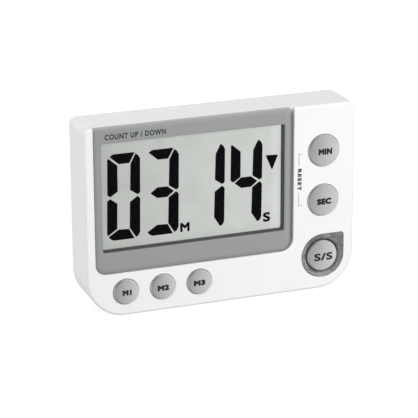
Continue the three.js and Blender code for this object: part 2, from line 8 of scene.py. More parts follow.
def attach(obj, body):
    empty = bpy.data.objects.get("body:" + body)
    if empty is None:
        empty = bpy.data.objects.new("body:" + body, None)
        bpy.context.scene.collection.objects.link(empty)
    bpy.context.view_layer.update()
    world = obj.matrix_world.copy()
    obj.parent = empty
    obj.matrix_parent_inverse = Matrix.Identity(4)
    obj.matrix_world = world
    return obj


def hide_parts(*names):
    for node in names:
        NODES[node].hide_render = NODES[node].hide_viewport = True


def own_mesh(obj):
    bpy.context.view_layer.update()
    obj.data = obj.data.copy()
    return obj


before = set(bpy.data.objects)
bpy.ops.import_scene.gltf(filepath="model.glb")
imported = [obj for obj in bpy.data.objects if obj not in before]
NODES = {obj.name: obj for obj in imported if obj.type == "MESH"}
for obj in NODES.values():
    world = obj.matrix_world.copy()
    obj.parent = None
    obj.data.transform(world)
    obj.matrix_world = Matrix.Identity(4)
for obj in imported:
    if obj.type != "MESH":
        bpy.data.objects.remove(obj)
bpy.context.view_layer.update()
MM = 0.001

# ------------------------------------------------------------------ dimensions (mm)
W, H = 130.0, 89.2
FRONT, BACK, PART = -11.9, 13.1, 6.1
R_TOP, R_BOT = 3.0, 18.0
EDGE_FRONT, EDGE_BACK = 1.2, 2.7
BEZ = dict(x0=-60.95, x1=34.6, z0=20.65, z1=H)
BEZ_R = dict(tl=0.7, tr=2.7, br=5.8, bl=5.0)
OPEN = dict(x0=-57.35, x1=29.9, z0=31.15, z1=81.7)
SEAT_GAP = 0.15
SKIRT = 1.2
FLOOR_BACK = -8.5
BUTTONS = {
    "min": (49.37, 67.35, 7.65), "sec": (49.35, 43.45, 7.65), "start_stop": (49.2, 16.3, 7.5),
    "m1": (-47.13, 11.45, 6.03), "m2": (-29.46, 11.45, 6.03), "m3": (-11.82, 11.45, 6.03),
}
LENS = (49.6, 16.1, 10.5, 1.5)
SHELL_SCREWS = [(-59.2, 83.4), (59.2, 83.4), (-59.0, 30.0), (59.0, 30.0)]
BOARD_SCREWS = [(39, 82.5), (59, 56), (8, 12), (-38.5, 23.2)]
DOOR = dict(x=28.2, z0=49.9, z1=77.6, y0=11.5)
DOOR_PIVOT = (12.3, 50.7)
BAY = dict(x=25.6, z0=52.45, z1=74.85, floor=0.0, wall=1.2)
STAND_X, STAND_Z0, STAND_Y = 24.0, 4.0, (10.6, 12.8)
STAND_PIVOT = (11.7, 44.0)
STAND_FLOOR, STAND_HEEL = 9.88, 1.5
MAGNETS = [(-46, 40), (46, 40)]
PIEZO = (45.5, 68.0, 13.5)
SELECTOR = (-45.0, 66.0, 4.0)

# ------------------------------------------------------------------ mesh tools
def arc(cx, cz, r, a0, a1, n):
    """n segments of an arc, angles in degrees, end points included."""
    a = np.radians(np.linspace(a0, a1, n + 1))
    return [(cx + r * math.cos(t), cz + r * math.sin(t)) for t in a]


def rrect(x0, x1, z0, z1, tl, tr, br, bl, n=10):
    """Counter-clockwise seen from the front; the point count depends only on n."""
    e = 0.02
    tl, tr, br, bl = (max(v, e) for v in (tl, tr, br, bl))
    return (arc(x1 - br, z0 + br, br, -90, 0, n) + arc(x1 - tr, z1 - tr, tr, 0, 90, n)
            + arc(x0 + tl, z1 - tl, tl, 90, 180, n) + arc(x0 + bl, z0 + bl, bl, 180, 270, n))


def outline(d, n=20):
    return rrect(-W / 2 + d, W / 2 - d, d, H - d, R_TOP - d, R_TOP - d, R_BOT - d, R_BOT - d, n)


def circle(cx, cz, r, n=96):
    return arc(cx, cz, r, 0, 360, n)[:-1]


def teardrop(grow, n=64):
    x, z, r, c = LENS
    r, c = r + grow, max(c + grow, 0.05)
    return ([(x + r, z)] + arc(x + r - c, z + r - c, c, 0, 90, 10)
            + arc(x, z, r, 90, 360, n)[:-1])


def raw(name, verts, faces):
    me = bpy.data.meshes.new(name)
    me.from_pydata([tuple(map(float, v)) for v in verts], [], faces)
    ob = bpy.data.objects.new(name, me)
    bpy.context.scene.collection.objects.link(ob)
    return ob


def loft(name, rings):
    """A closed body through XZ rings given as (points, y), front to back."""
    n = len(rings[0][0])
    verts, faces = [], []
    for pts, y in rings:
        depth = y if hasattr(y, "__len__") else [y] * n
        verts += [(p[0], d, p[1]) for p, d in zip(pts, depth)]
    for i in range(len(rings) - 1):
        for j in range(n):
            k = (j + 1) % n
            faces.append((i * n + j, (i + 1) * n + j, (i + 1) * n + k, i * n + k))
    faces.append(tuple(range(n)))
    last = (len(rings) - 1) * n
    faces.append(tuple(range(last + n - 1, last - 1, -1)))
    return raw(name, verts, faces)


def prism(name, pts, y0, y1):
    return loft(name, [(pts, y0), (pts, y1)])


def block(name, x0, x1, y0, y1, z0, z1):
    return prism(name, [(x0, z0), (x1, z0), (x1, z1), (x0, z1)], y0, y1)


def rblock(name, x0, x1, y0, y1, z0, z1, r=0.4, n=4, corner=None):
    """A block whose edges along and around are rounded by r."""
    corner = max(corner or r, r)
    rings = []
    for t in np.linspace(0, math.pi / 2, n + 1):
        d, y = r * (1 - math.sin(t)), y0 + r * (1 - math.cos(t))
        rings.append((rrect(x0 + d, x1 - d, z0 + d, z1 - d, *[corner - d] * 4, n), y))
    for t in np.linspace(math.pi / 2, 0, n + 1):
        d, y = r * (1 - math.sin(t)), y1 - r * (1 - math.cos(t))
        rings.append((rrect(x0 + d, x1 - d, z0 + d, z1 - d, *[corner - d] * 4, n), y))
    return loft(name, rings)


def lathe(name, profile, cx=0.0, cz=0.0, n=96):
    """Turned about a line along Y. profile runs from the front of the axis, out, and back to the axis."""
    verts, faces = [], []
    a = np.linspace(0, 2 * math.pi, n + 1)[:-1]
    rings = []
    for r, y in profile:
        if r < 1e-6:
            verts.append((cx, y, cz))
            rings.append([len(verts) - 1] * n)
        else:
            s = len(verts)
            verts += [(cx + r * math.cos(t), y, cz + r * math.sin(t)) for t in a]
            rings.append(list(range(s, s + n)))
    for i in range(len(rings) - 1):
        for j in range(n):
            k = (j + 1) % n
            f = [rings[i][j], rings[i + 1][j], rings[i + 1][k], rings[i][k]]
            f = [v for q, v in enumerate(f) if v not in f[:q]]
            if len(f) > 2:
                faces.append(tuple(f))
    return raw(name, verts, faces)


def ring_lathe(name, profile, cx=0.0, cz=0.0, n=96):
    """Turned about a line along Y from a closed profile that doesn't touch the axis."""
    m = len(profile)
    a = np.linspace(0, 2 * math.pi, n + 1)[:-1]
    verts = [(cx + r * math.cos(t), y, cz + r * math.sin(t)) for r, y in profile for t in a]
    faces = []
    for i in range(m):
        i2 = (i + 1) % m
        for j in range(n):
            k = (j + 1) % n
            faces.append((i * n + j, i2 * n + j, i2 * n + k, i * n + k))
    ob = raw(name, verts, faces)
    fix_out(ob)
    return ob


def fix_out(ob):
    bm = bmesh.new()
    bm.from_mesh(ob.data)
    bmesh.ops.recalc_face_normals(bm, faces=bm.faces)
    if bm.calc_volume(signed=True) < 0:
        bmesh.ops.reverse_faces(bm, faces=bm.faces)
    bm.to_mesh(ob.data)
    bm.free()


def fillet(points, radii, n=6, closed=True):
    """A 2-D polyline with its corners rounded."""
    out = []
    m = len(points)
    for i in range(m):
        p = np.array(points[i], float)
        r = radii[i] if isinstance(radii, (list, tuple)) else radii
        if r <= 0 or (not closed and i in (0, m - 1)):
            out.append(tuple(p))
            continue
        a, b = np.array(points[i - 1], float), np.array(points[(i + 1) % m], float)
        u, v = (a - p) / np.linalg.norm(a - p), (b - p) / np.linalg.norm(b - p)
        ang = math.acos(np.clip(u @ v, -1, 1))
        if ang > math.pi - 1e-3:
            out.append(tuple(p))
            continue
        t = min(r / math.tan(ang / 2), 0.49 * np.linalg.norm(a - p), 0.49 * np.linalg.norm(b - p))
        r2 = t * math.tan(ang / 2)
        c = p + (u + v) / np.linalg.norm(u + v) * r2 / math.sin(ang / 2)
        s, e = p + u * t, p + v * t
        a0 = math.atan2(*(s - c)[::-1])
        a1 = math.atan2(*(e - c)[::-1])
        d = (a1 - a0 + math.pi) % (2 * math.pi) - math.pi
        for k in range(n + 1):
            q = a0 + d * k / n
            out.append((c[0] + r2 * math.cos(q), c[1] + r2 * math.sin(q)))
    return out


def tube(name, pts, r, sides=12, smooth=6):
    """A round tube with closed flat ends through points, along a Catmull-Rom curve."""
    p = [Vector(q) for q in pts]
    p = [p[0] * 2 - p[1]] + p + [p[-1] * 2 - p[-2]]
    path = []
    for i in range(1, len(p) - 2):
        for k in range(smooth):
            t = k / smooth
            path.append(0.5 * ((2 * p[i]) + (p[i + 1] - p[i - 1]) * t
                        + (2 * p[i - 1] - 5 * p[i] + 4 * p[i + 1] - p[i + 2]) * t * t
                        + (3 * p[i] - p[i - 1] - 3 * p[i + 1] + p[i + 2]) * t ** 3))
    path.append(p[-2])
    return sweep(name, path, r, sides)


def sweep(name, path, r, sides=12):
    verts, faces = [], []
    t0 = (path[1] - path[0]).normalized()
    nrm = t0.orthogonal().normalized()
    for i, q in enumerate(path):
        t = (path[min(i + 1, len(path) - 1)] - path[max(i - 1, 0)]).normalized()
        nrm = (nrm - t * nrm.dot(t)).normalized()
        b = t.cross(nrm)
        for k in range(sides):
            a = 2 * math.pi * k / sides
            verts.append(q + (nrm * math.cos(a) + b * math.sin(a)) * r)
    for i in range(len(path) - 1):
        for k in range(sides):
            k2 = (k + 1) % sides
            faces.append((i * sides + k, i * sides + k2, (i + 1) * sides + k2, (i + 1) * sides + k))
    faces.append(tuple(range(sides - 1, -1, -1)))
    s = (len(path) - 1) * sides
    faces.append(tuple(range(s, s + sides)))
    ob = raw(name, verts, faces)
    fix_out(ob)
    return ob


def turn_to_x(ob, cx, cy, cz, sign=1):
    """A body turned about Y is laid along X: its +Y becomes sign * X."""
    m = Matrix(((0, sign, 0, cx), (-sign, 0, 0, cy), (0, 0, 1, cz), (0, 0, 0, 1)))
    ob.data.transform(m)
    return ob


def boolean(a, op, *tools):
    for b in tools:
        mod = a.modifiers.new("b", "BOOLEAN")
        mod.operation = {"-": "DIFFERENCE", "+": "UNION", "&": "INTERSECT"}[op]
        mod.object = b
        mod.solver = "MANIFOLD"
        dg = bpy.context.evaluated_depsgraph_get()
        me = bpy.data.meshes.new_from_object(a.evaluated_get(dg))
        a.modifiers.clear()
        old = a.data
        a.data = me
        bpy.data.meshes.remove(old)
        bpy.data.objects.remove(b)
        if not len(me.polygons):
            raise RuntimeError(f"{a.name}: boolean left nothing")
    return a


def shade(ob, angle=40.0, flat_area=3.0):
    """Smooth shading within angle; broad axis-aligned faces stay perfectly flat up to their rounded rims."""
    me = ob.data
    n = len(me.polygons)
    nor = np.zeros(n * 3)
    me.polygons.foreach_get("normal", nor)
    nor = nor.reshape(-1, 3)
    area = np.zeros(n)
    me.polygons.foreach_get("area", area)
    cen = np.zeros(n * 3)
    me.polygons.foreach_get("center", cen)
    cen = cen.reshape(-1, 3)
    axis = np.abs(nor).max(1) > 0.99998
    key = {}
    for i in np.nonzero(axis)[0]:
        a = int(np.abs(nor[i]).argmax())
        k = (a, nor[i][a] > 0, round(float(cen[i][a]), 2))
        key.setdefault(k, []).append(i)
    flat = np.zeros(n, bool)
    for ids in key.values():
        if area[ids].sum() > flat_area:
            flat[ids] = True
    me.polygons.foreach_set("use_smooth", np.ones(n, bool))
    starts = np.zeros(n, int)
    me.polygons.foreach_get("loop_start", starts)
    totals = np.zeros(n, int)
    me.polygons.foreach_get("loop_total", totals)
    lv = np.zeros(len(me.loops), int)
    me.loops.foreach_get("vertex_index", lv)
    co = np.zeros(len(me.vertices) * 3)
    me.vertices.foreach_get("co", co)
    co = co.reshape(-1, 3)
    around = [[] for _ in range(len(me.vertices))]
    for f in range(n):
        s, t = starts[f], totals[f]
        vs = lv[s:s + t]
        p = co[vs]
        u = np.roll(p, 1, 0) - p
        w = np.roll(p, -1, 0) - p
        d = (u * w).sum(1) / np.maximum(np.linalg.norm(u, axis=1) * np.linalg.norm(w, axis=1), 1e-12)
        ang = np.arccos(np.clip(d, -1, 1))
        for v, g in zip(vs, ang):
            around[v].append((f, g))
    lim = math.cos(math.radians(angle))
    out = np.zeros((len(lv), 3))
    for f in range(n):
        nf = nor[f]
        for li in range(starts[f], starts[f] + totals[f]):
            if flat[f]:
                out[li] = nf
                continue
            fl, sm = np.zeros(3), np.zeros(3)
            hit = False
            for g, wgt in around[lv[li]]:
                if nor[g] @ nf > lim:
                    if flat[g]:
                        fl += nor[g] * (wgt + 1e-6)
                        hit = True
                    sm += nor[g] * (wgt + 1e-6)
            v = fl if hit else sm
            ln = np.linalg.norm(v)
            out[li] = v / ln if ln > 1e-9 else nf
    me.normals_split_custom_set(out.tolist())
    return ob


def piece(ob, name, body, mats, nodes=(), angle=40.0, flat_area=3.0, weld=2e-4):
    """Cleans a mesh made in mm, brings it to metres and ties it to the frame."""
    bm = bmesh.new()
    bm.from_mesh(ob.data)
    bmesh.ops.remove_doubles(bm, verts=bm.verts, dist=weld)
    bmesh.ops.dissolve_degenerate(bm, edges=bm.edges, dist=weld)
    bm.normal_update()
    bm.to_mesh(ob.data)
    bm.free()
    ob.name = name
    ob.data.name = name
    shade(ob, angle, flat_area)
    nor = np.zeros(len(ob.data.loops) * 3)
    ob.data.corner_normals.foreach_get("vector", nor)
    ob.data.transform(Matrix.Scale(MM, 4))
    ob.data.normals_split_custom_set(nor.reshape(-1, 3).tolist())
    if not isinstance(mats, (list, tuple)):
        mats = [mats]
    keep = [p.material_index for p in ob.data.polygons]
    ob.data.materials.clear()
    for m in mats:
        ob.data.materials.append(m)
    for p, k in zip(ob.data.polygons, keep):
        p.material_index = min(k, len(mats) - 1)
    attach(ob, body)
    if nodes:
        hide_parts(*nodes)
    return ob


def paint(ob, test, index):
    """Gives the faces that test(centre, normal) picks another material index; centre in mm."""
    for p in ob.data.polygons:
        if test(p.center, p.normal):
            p.material_index = index


def text_body(body, height, bold=0.0, spacing=1.0, stretch=1.0):
    """Flat lettering as a thin closed body in the XZ plane, centred, capital height given in mm."""
    cu = bpy.data.curves.new("t", "FONT")
    cu.body = body
    cu.size = 1.0
    cu.align_x = "CENTER"
    cu.extrude = 0.02
    cu.space_character = spacing
    cu.resolution_u = 5
    tmp = bpy.data.objects.new("t", cu)
    bpy.context.scene.collection.objects.link(tmp)
    dg = bpy.context.evaluated_depsgraph_get()
    me = bpy.data.meshes.new_from_object(tmp.evaluated_get(dg))
    bpy.data.objects.remove(tmp)
    bpy.data.curves.remove(cu)
    bm = bmesh.new()
    bm.from_mesh(me)
    bmesh.ops.remove_doubles(bm, verts=bm.verts, dist=1e-4)
    bmesh.ops.scale(bm, vec=(stretch, 1, 1), verts=bm.verts)
    bm.to_mesh(me)
    bm.free()
    ob = bpy.data.objects.new("text", me)
    bpy.context.scene.collection.objects.link(ob)
    if bold > 0:
        copies = []
        for i in range(8):
            a = 2 * math.pi * (i + 0.5) / 8
            c = bpy.data.objects.new("copy", me.copy())
            bpy.context.scene.collection.objects.link(c)
            c.data.transform(Matrix.Translation((bold * math.cos(a), bold * math.sin(a), 0)))
            copies.append(c)
        boolean(ob, "+", *copies)

    me = ob.data
    co = np.array([v.co for v in me.vertices])
    s = height / (co[:, 1].max() - co[:, 1].min())
    mid = (co.max(0) + co.min(0)) / 2
    for v in me.vertices:
        x, z, d = (v.co.x - mid[0]) * s, (v.co.y - mid[1]) * s, v.co.z
        v.co = (x, -d, z)       # extruded front (+d) faces -Y
    return ob


def place_print(ob, cx, cz, surface, rot=0.0, sx=1.0, lift=0.02, sink=0.015, grid=0.0):
    """Moves lettering to (cx, cz) and lays it on the surface y = surface(x, z)."""
    c, s = math.cos(math.radians(rot)), math.sin(math.radians(rot))
    if grid:
        bm = bmesh.new()
        bm.from_mesh(ob.data)
        for axis in (0, 2):
            lo, hi = min(v.co[axis] for v in bm.verts), max(v.co[axis] for v in bm.verts)
            no = Vector((1, 0, 0)) if axis == 0 else Vector((0, 0, 1))
            for k in range(1, int((hi - lo) / grid) + 1):
                at = no * (lo + k * grid - 0.0137)
                bmesh.ops.bisect_plane(bm, geom=bm.verts[:] + bm.edges[:] + bm.faces[:], plane_co=at, plane_no=no,
                                       dist=1e-6)
        bm.to_mesh(ob.data)
        bm.free()
    for v in ob.data.vertices:
        x, z, front = v.co.x * sx, v.co.z, v.co.y < 0
        px, pz = cx + c * x - s * z, cz + s * x + c * z
        v.co = (px, surface(px, pz) - lift if front else surface(px, pz) + sink, pz)
    return ob


def inset_poly(pts, d):
    """A convex outline moved inwards by d, point for point (counter-clockwise input)."""
    p = np.array(pts, float)
    area = 0.5 * float(np.sum(p[:, 0] * np.roll(p[:, 1], -1) - np.roll(p[:, 0], -1) * p[:, 1]))
    out = []
    n = len(p)
    for i in range(n):
        a, b, c = p[i - 1], p[i], p[(i + 1) % n]
        e1, e2 = (b - a) / np.linalg.norm(b - a), (c - b) / np.linalg.norm(c - b)
        n1, n2 = np.array([-e1[1], e1[0]]), np.array([-e2[1], e2[0]])
        if area < 0:
            n1, n2 = -n1, -n2
        m = n1 + n2
        m /= np.linalg.norm(m)
        out.append(tuple(b + m * d / max(m @ n1, 0.3)))
    return out


def prism_x(name, pts, x0, x1, r=0.0, n=4):
    """A YZ outline run along X, its two ends rounded by r."""
    rings = []
    if r > 0:
        for t in np.linspace(0, math.pi / 2, n + 1):
            rings.append((inset_poly(pts, r * (1 - math.sin(t))), x0 + r * (1 - math.cos(t))))
        for t in np.linspace(math.pi / 2, 0, n + 1):
            rings.append((inset_poly(pts, r * (1 - math.sin(t))), x1 - r * (1 - math.cos(t))))
    else:
        rings = [(pts, x0), (pts, x1)]
    m = len(pts)
    verts = [(x, q[0], q[1]) for ring, x in rings for q in ring]
    faces = []
    for i in range(len(rings) - 1):
        for j in range(m):
            k = (j + 1) % m
            faces.append((i * m + j, i * m + k, (i + 1) * m + k, (i + 1) * m + j))
    faces.append(tuple(range(m - 1, -1, -1)))
    s = (len(rings) - 1) * m
    faces.append(tuple(range(s, s + m)))
    ob = raw(name, verts, faces)
    fix_out(ob)
    return ob


def rod(name, cx, cz, r, y0, y1, n=64, edge=0.0):
    if edge <= 0:
        return prism(name, circle(cx, cz, r, n), y0, y1)
    return lathe(name, fillet([(0, y0), (r, y0), (r, y1), (0, y1)], edge, 4, closed=False), cx, cz, n)


def axle(name, x0, x1, y, z, r, n=40, edge=0.15):
    ob = lathe(name, fillet([(0, 0), (r, 0), (r, x1 - x0), (0, x1 - x0)], edge, 3, closed=False), 0, 0, n)
    m = Matrix(((0, 1, 0, x0), (-1, 0, 0, y), (0, 0, 1, z), (0, 0, 0, 1)))
    ob.data.transform(m)
    return ob


def flared(name, shape, y_face, depth_to, flare, toward=1, n=5, extra=4.0):
    """A cutter through a face: shape(grow) gives its outline, and its mouth is rounded by flare."""
    rings = [(shape(flare), y_face - toward * extra)]
    for t in np.linspace(0, math.pi / 2, n + 1):
        rings.append((shape(flare * (1 - math.sin(t))), y_face + toward * flare * (1 - math.cos(t))))
    rings.append((shape(0.0), depth_to))
    if toward < 0:
        rings = rings[::-1]
    ob = loft(name, rings)
    fix_out(ob)
    return ob


# ------------------------------------------------------------------ materials
def nodes_of(name):
    m = bpy.data.materials.new(name)
    m.use_nodes = True
    nt = m.node_tree
    nt.nodes.clear()
    out = nt.nodes.new("ShaderNodeOutputMaterial")
    return m, nt, out


def link(nt, a, b):
    nt.links.new(a, b)


def noise(nt, scale, detail=2.0, rough=0.5, vec=None, stretch=None):
    tc = nt.nodes.new("ShaderNodeTexCoord")
    src = tc.outputs["Object"]
    if stretch:
        mp = nt.nodes.new("ShaderNodeMapping")
        mp.inputs["Scale"].default_value = stretch
        link(nt, src, mp.inputs["Vector"])
        src = mp.outputs["Vector"]
    nz = nt.nodes.new("ShaderNodeTexNoise")
    nz.inputs["Scale"].default_value = scale
    nz.inputs["Detail"].default_value = detail
    nz.inputs["Roughness"].default_value = rough
    link(nt, src, nz.inputs["Vector"])
    return nz.outputs["Fac"]


def remap(nt, fac, lo, hi, a=0.3, b=0.7):
    mr = nt.nodes.new("ShaderNodeMapRange")
    mr.inputs["From Min"].default_value = a
    mr.inputs["From Max"].default_value = b
    mr.inputs["To Min"].default_value = lo
    mr.inputs["To Max"].default_value = hi
    link(nt, fac, mr.inputs["Value"])
    return mr.outputs["Result"]


def blend_color(nt, fac, c0, c1):
    mx = nt.nodes.new("ShaderNodeMix")
    mx.data_type = "RGBA"
    mx.inputs["A"].default_value = (*c0, 1)
    mx.inputs["B"].default_value = (*c1, 1)
    link(nt, fac, mx.inputs["Factor"])
    return mx.outputs["Result"]


def srgb(r, g=None, b=None):
    g, b = (r if g is None else g), (r if b is None else b)
    return tuple((c / 255 / 12.92) if c / 255 <= 0.04045 else ((c / 255 + 0.055) / 1.055) ** 2.4
                 for c in (r, g, b))


def finish_mat(name, color, rough, var=0.02, rvar=0.04, big=60.0, grain=2600.0, bump=0.02, dist=2e-5,
               metallic=0.0, spec=0.5, ior=1.46, coat=0.0, coat_rough=0.1, sss=0.0, stretch=None,
               flake=0.0, emission=0.0):
    """Moulded or painted finish: soft colour drift, mottled gloss and a fine surface grain."""
    m, nt, out = nodes_of(name)
    bs = nt.nodes.new("ShaderNodeBsdfPrincipled")
    link(nt, bs.outputs["BSDF"], out.inputs["Surface"])
    lo = tuple(max(c * (1 - var), 0) for c in color)
    hi = tuple(min(c * (1 + var), 1) for c in color)
    wide = noise(nt, big, 3.0, 0.55)
    fine = noise(nt, grain, 2.0, 0.6, stretch=stretch)
    if flake > 0:
        tc = nt.nodes.new("ShaderNodeTexCoord")
        vo = nt.nodes.new("ShaderNodeTexVoronoi")
        vo.inputs["Scale"].default_value = 9000.0
        link(nt, tc.outputs["Object"], vo.inputs["Vector"])
        sep = nt.nodes.new("ShaderNodeSeparateColor")
        link(nt, vo.outputs["Color"], sep.inputs["Color"])
        add = nt.nodes.new("ShaderNodeMath")
        add.operation = "MULTIPLY_ADD"
        link(nt, sep.outputs["Red"], add.inputs[0])
        add.inputs[1].default_value = flake
        link(nt, wide, add.inputs[2])
        col = blend_color(nt, remap(nt, add.outputs[0], 0, 1, 0.3, 0.7 + flake), lo, hi)
    else:
        col = blend_color(nt, remap(nt, wide, 0, 1), lo, hi)
    link(nt, col, bs.inputs["Base Color"])
    link(nt, remap(nt, fine, max(rough - rvar, 0.02), rough + rvar), bs.inputs["Roughness"])
    bp = nt.nodes.new("ShaderNodeBump")
    bp.inputs["Strength"].default_value = bump
    bp.inputs["Distance"].default_value = dist
    link(nt, fine, bp.inputs["Height"])
    link(nt, bp.outputs["Normal"], bs.inputs["Normal"])
    bs.inputs["Metallic"].default_value = metallic
    bs.inputs["Specular IOR Level"].default_value = spec
    bs.inputs["IOR"].default_value = ior
    if coat:
        bs.inputs["Coat Weight"].default_value = coat
        bs.inputs["Coat Roughness"].default_value = coat_rough
    if sss:
        bs.inputs["Subsurface Weight"].default_value = sss
        bs.inputs["Subsurface Scale"].default_value = 0.001
    if emission:
        bs.inputs["Emission Color"].default_value = (1, 1, 1, 1)
        bs.inputs["Emission Strength"].default_value = emission
    return m


WHITE = finish_mat("white_abs", (0.87, 0.87, 0.88), 0.36, var=0.008, rvar=0.05, bump=0.10, grain=3200)
# bezel grey; its rims get painted shade and a painted highlight further down
GREY_RIM_SHADED = finish_mat("grey_abs", (0.335, 0.348, 0.342), 0.42, var=0.015, rvar=0.05, bump=0.15, grain=4200, metallic=0.25)
SILVER = finish_mat("silver_paint", (0.635, 0.635, 0.64), 0.33, var=0.05, rvar=0.03, bump=0.06, grain=5200,
                    metallic=0.88, coat=0.15, coat_rough=0.25, flake=0.5)
LCD_BACK = finish_mat("lcd_rear", (0.42, 0.45, 0.43), 0.4, var=0.02, grain=3000)
INK_LCD = finish_mat("lcd_segment", (0.0025, 0.0024, 0.004), 0.5, var=0.05, bump=0.0, spec=0.05, grain=400)
INK = finish_mat("black_ink", (0.018, 0.018, 0.02), 0.5, var=0.15, bump=0.05, spec=0.35, grain=5200)
INK_PALE = finish_mat("pale_ink", (0.56, 0.56, 0.62), 0.5, var=0.05, bump=0.05, spec=0.35, grain=5200)
INK_DARK = finish_mat("slate_ink", (0.05, 0.052, 0.065), 0.5, var=0.1, bump=0.05, spec=0.35, grain=5200)
RUBBER = finish_mat("silicone_rubber", (0.47, 0.49, 0.48), 0.72, var=0.03, bump=0.15, grain=2400, sss=0.15)
STEEL = finish_mat("plated_steel", (0.56, 0.57, 0.58), 0.27, var=0.06, rvar=0.08, metallic=1.0, bump=0.08,
                   grain=2600, big=300)
NICKEL = finish_mat("nickel_plate", (0.68, 0.66, 0.63), 0.2, var=0.05, rvar=0.06, metallic=1.0, bump=0.05,
                    grain=1800, big=300)
MAGNET = finish_mat("magnet_plate", (0.50, 0.50, 0.51), 0.3, var=0.08, rvar=0.09, metallic=1.0, bump=0.08,
                    grain=1500, big=260)
FERRITE = finish_mat("ferrite", (0.06, 0.06, 0.062), 0.6, var=0.15, bump=0.2, grain=1500)
BRASS = finish_mat("brass_disc", (0.62, 0.44, 0.17), 0.28, var=0.08, rvar=0.08, metallic=1.0, bump=0.08,
                   grain=1800, big=260)
CERAMIC = finish_mat("ceramic", (0.72, 0.71, 0.66), 0.5, var=0.05, bump=0.08, grain=2200)
BLACK = finish_mat("black_abs", (0.022, 0.022, 0.024), 0.42, var=0.15, rvar=0.06, bump=0.25, grain=2600)
EPOXY = finish_mat("black_epoxy", (0.009, 0.009, 0.01), 0.26, var=0.2, rvar=0.08, bump=0.2, grain=700)
NATURAL = finish_mat("natural_plastic", (0.70, 0.69, 0.64), 0.5, var=0.03, bump=0.12, grain=2600, sss=0.1)
RED_PVC = finish_mat("red_pvc", (0.52, 0.018, 0.016), 0.4, var=0.08, bump=0.12, grain=1600)
BLACK_PVC = finish_mat("black_pvc", (0.014, 0.014, 0.015), 0.42, var=0.15, bump=0.12, grain=1600)

# bare grey plastic of the key skirts, kept dark so that it also paints the shade in the gap round each key
KEY_SKIRT_GAP_SHADE = finish_mat("key_skirt_gap_shade", (0.27, 0.27, 0.274), 0.5, var=0.06, rvar=0.04, bump=0.12, grain=3600)
# dark grey painted on the display opening's walls and lip: painted shade of the recess
RECESS_SHADE = finish_mat("recess_shade_grey", (0.075, 0.077, 0.078), 0.6, var=0.06, bump=0.12, grain=3600, spec=0.3)


def span(nt, socket, a, b, v0, v1):
    """A smooth step from v0 at a to v1 at b (a < b)."""
    mr = nt.nodes.new("ShaderNodeMapRange")
    mr.interpolation_type = "SMOOTHSTEP"
    mr.inputs["From Min"].default_value, mr.inputs["From Max"].default_value = a, b
    mr.inputs["To Min"].default_value, mr.inputs["To Max"].default_value = v0, v1
    link(nt, socket, mr.inputs["Value"])
    return mr.outputs["Result"]


def calc(nt, a, b, op="MULTIPLY"):
    q = nt.nodes.new("ShaderNodeMath")
    q.operation = op
    for value, socket in ((a, q.inputs[0]), (b, q.inputs[1])):
        if isinstance(value, (int, float)):
            socket.default_value = value
        else:
            link(nt, value, socket)
    return q.outputs[0]


def paint_rim_shade_and_highlight(m):
    """Painted shade and a painted highlight down the bezel's falling rims: darker on the right and on the lower lip
    where they turn from the light, paler on the top rim where it catches the light.
    """
    nt = m.node_tree
    bs = next(n for n in nt.nodes if n.type == "BSDF_PRINCIPLED")
    src = bs.inputs["Base Color"].links[0].from_socket
    tc = nt.nodes.new("ShaderNodeTexCoord")
    sp = nt.nodes.new("ShaderNodeSeparateXYZ")
    link(nt, tc.outputs["Object"], sp.inputs["Vector"])
    x, y, z = (sp.outputs[k] for k in "XYZ")
    f = FRONT * MM
    # painted shade where the right rim falls away
    right = calc(nt, span(nt, y, f + 0.00008, f + 0.0014, 0, 1), span(nt, x, 0.020, 0.029, 0, 1))
    right = calc(nt, right, span(nt, z, 0.0845, 0.0885, 1, 0))
    # painted shade on the lip just below the display opening
    low = calc(nt, span(nt, y, f + 0.00002, f + 0.0004, 0, 1), span(nt, z, 0.0312, 0.0322, 1, 0))
    low = calc(nt, low, span(nt, z, 0.0285, 0.0295, 0, 1))
    low = calc(nt, low, span(nt, x, 0.0302, 0.0312, 1, 0))
    low = calc(nt, low, span(nt, x, -0.0588, -0.0580, 0, 1))
    dark = calc(nt, calc(nt, right, RIM_SHADE_AND_HIGHLIGHT[0]), calc(nt, low, RIM_SHADE_AND_HIGHLIGHT[1]), "ADD")
    # painted highlight on the top rim
    pale = calc(nt, span(nt, y, f + 0.0004, f + 0.0015, 0, 1), span(nt, z, 0.0866, 0.0884, 0, 1))
    pale = calc(nt, pale, RIM_SHADE_AND_HIGHLIGHT[2])
    col = src
    # mix in the painted shade colour, then the painted highlight colour
    for fac, tone in ((dark, (0.05, 0.052, 0.052)), (pale, (0.80, 0.81, 0.80))):
        mx = nt.nodes.new("ShaderNodeMix")
        mx.data_type = "RGBA"
        link(nt, fac, mx.inputs["Factor"])
        link(nt, col, mx.inputs["A"])
        mx.inputs["B"].default_value = (*tone, 1)
        col = mx.outputs["Result"]
    link(nt, col, bs.inputs["Base Color"])
    return m


# strengths of the painted shade on the right rim and on the lower lip, and of the painted highlight on the top rim
RIM_SHADE_AND_HIGHLIGHT = (0.52, 0.6, 0.4)
paint_rim_shade_and_highlight(GREY_RIM_SHADED)


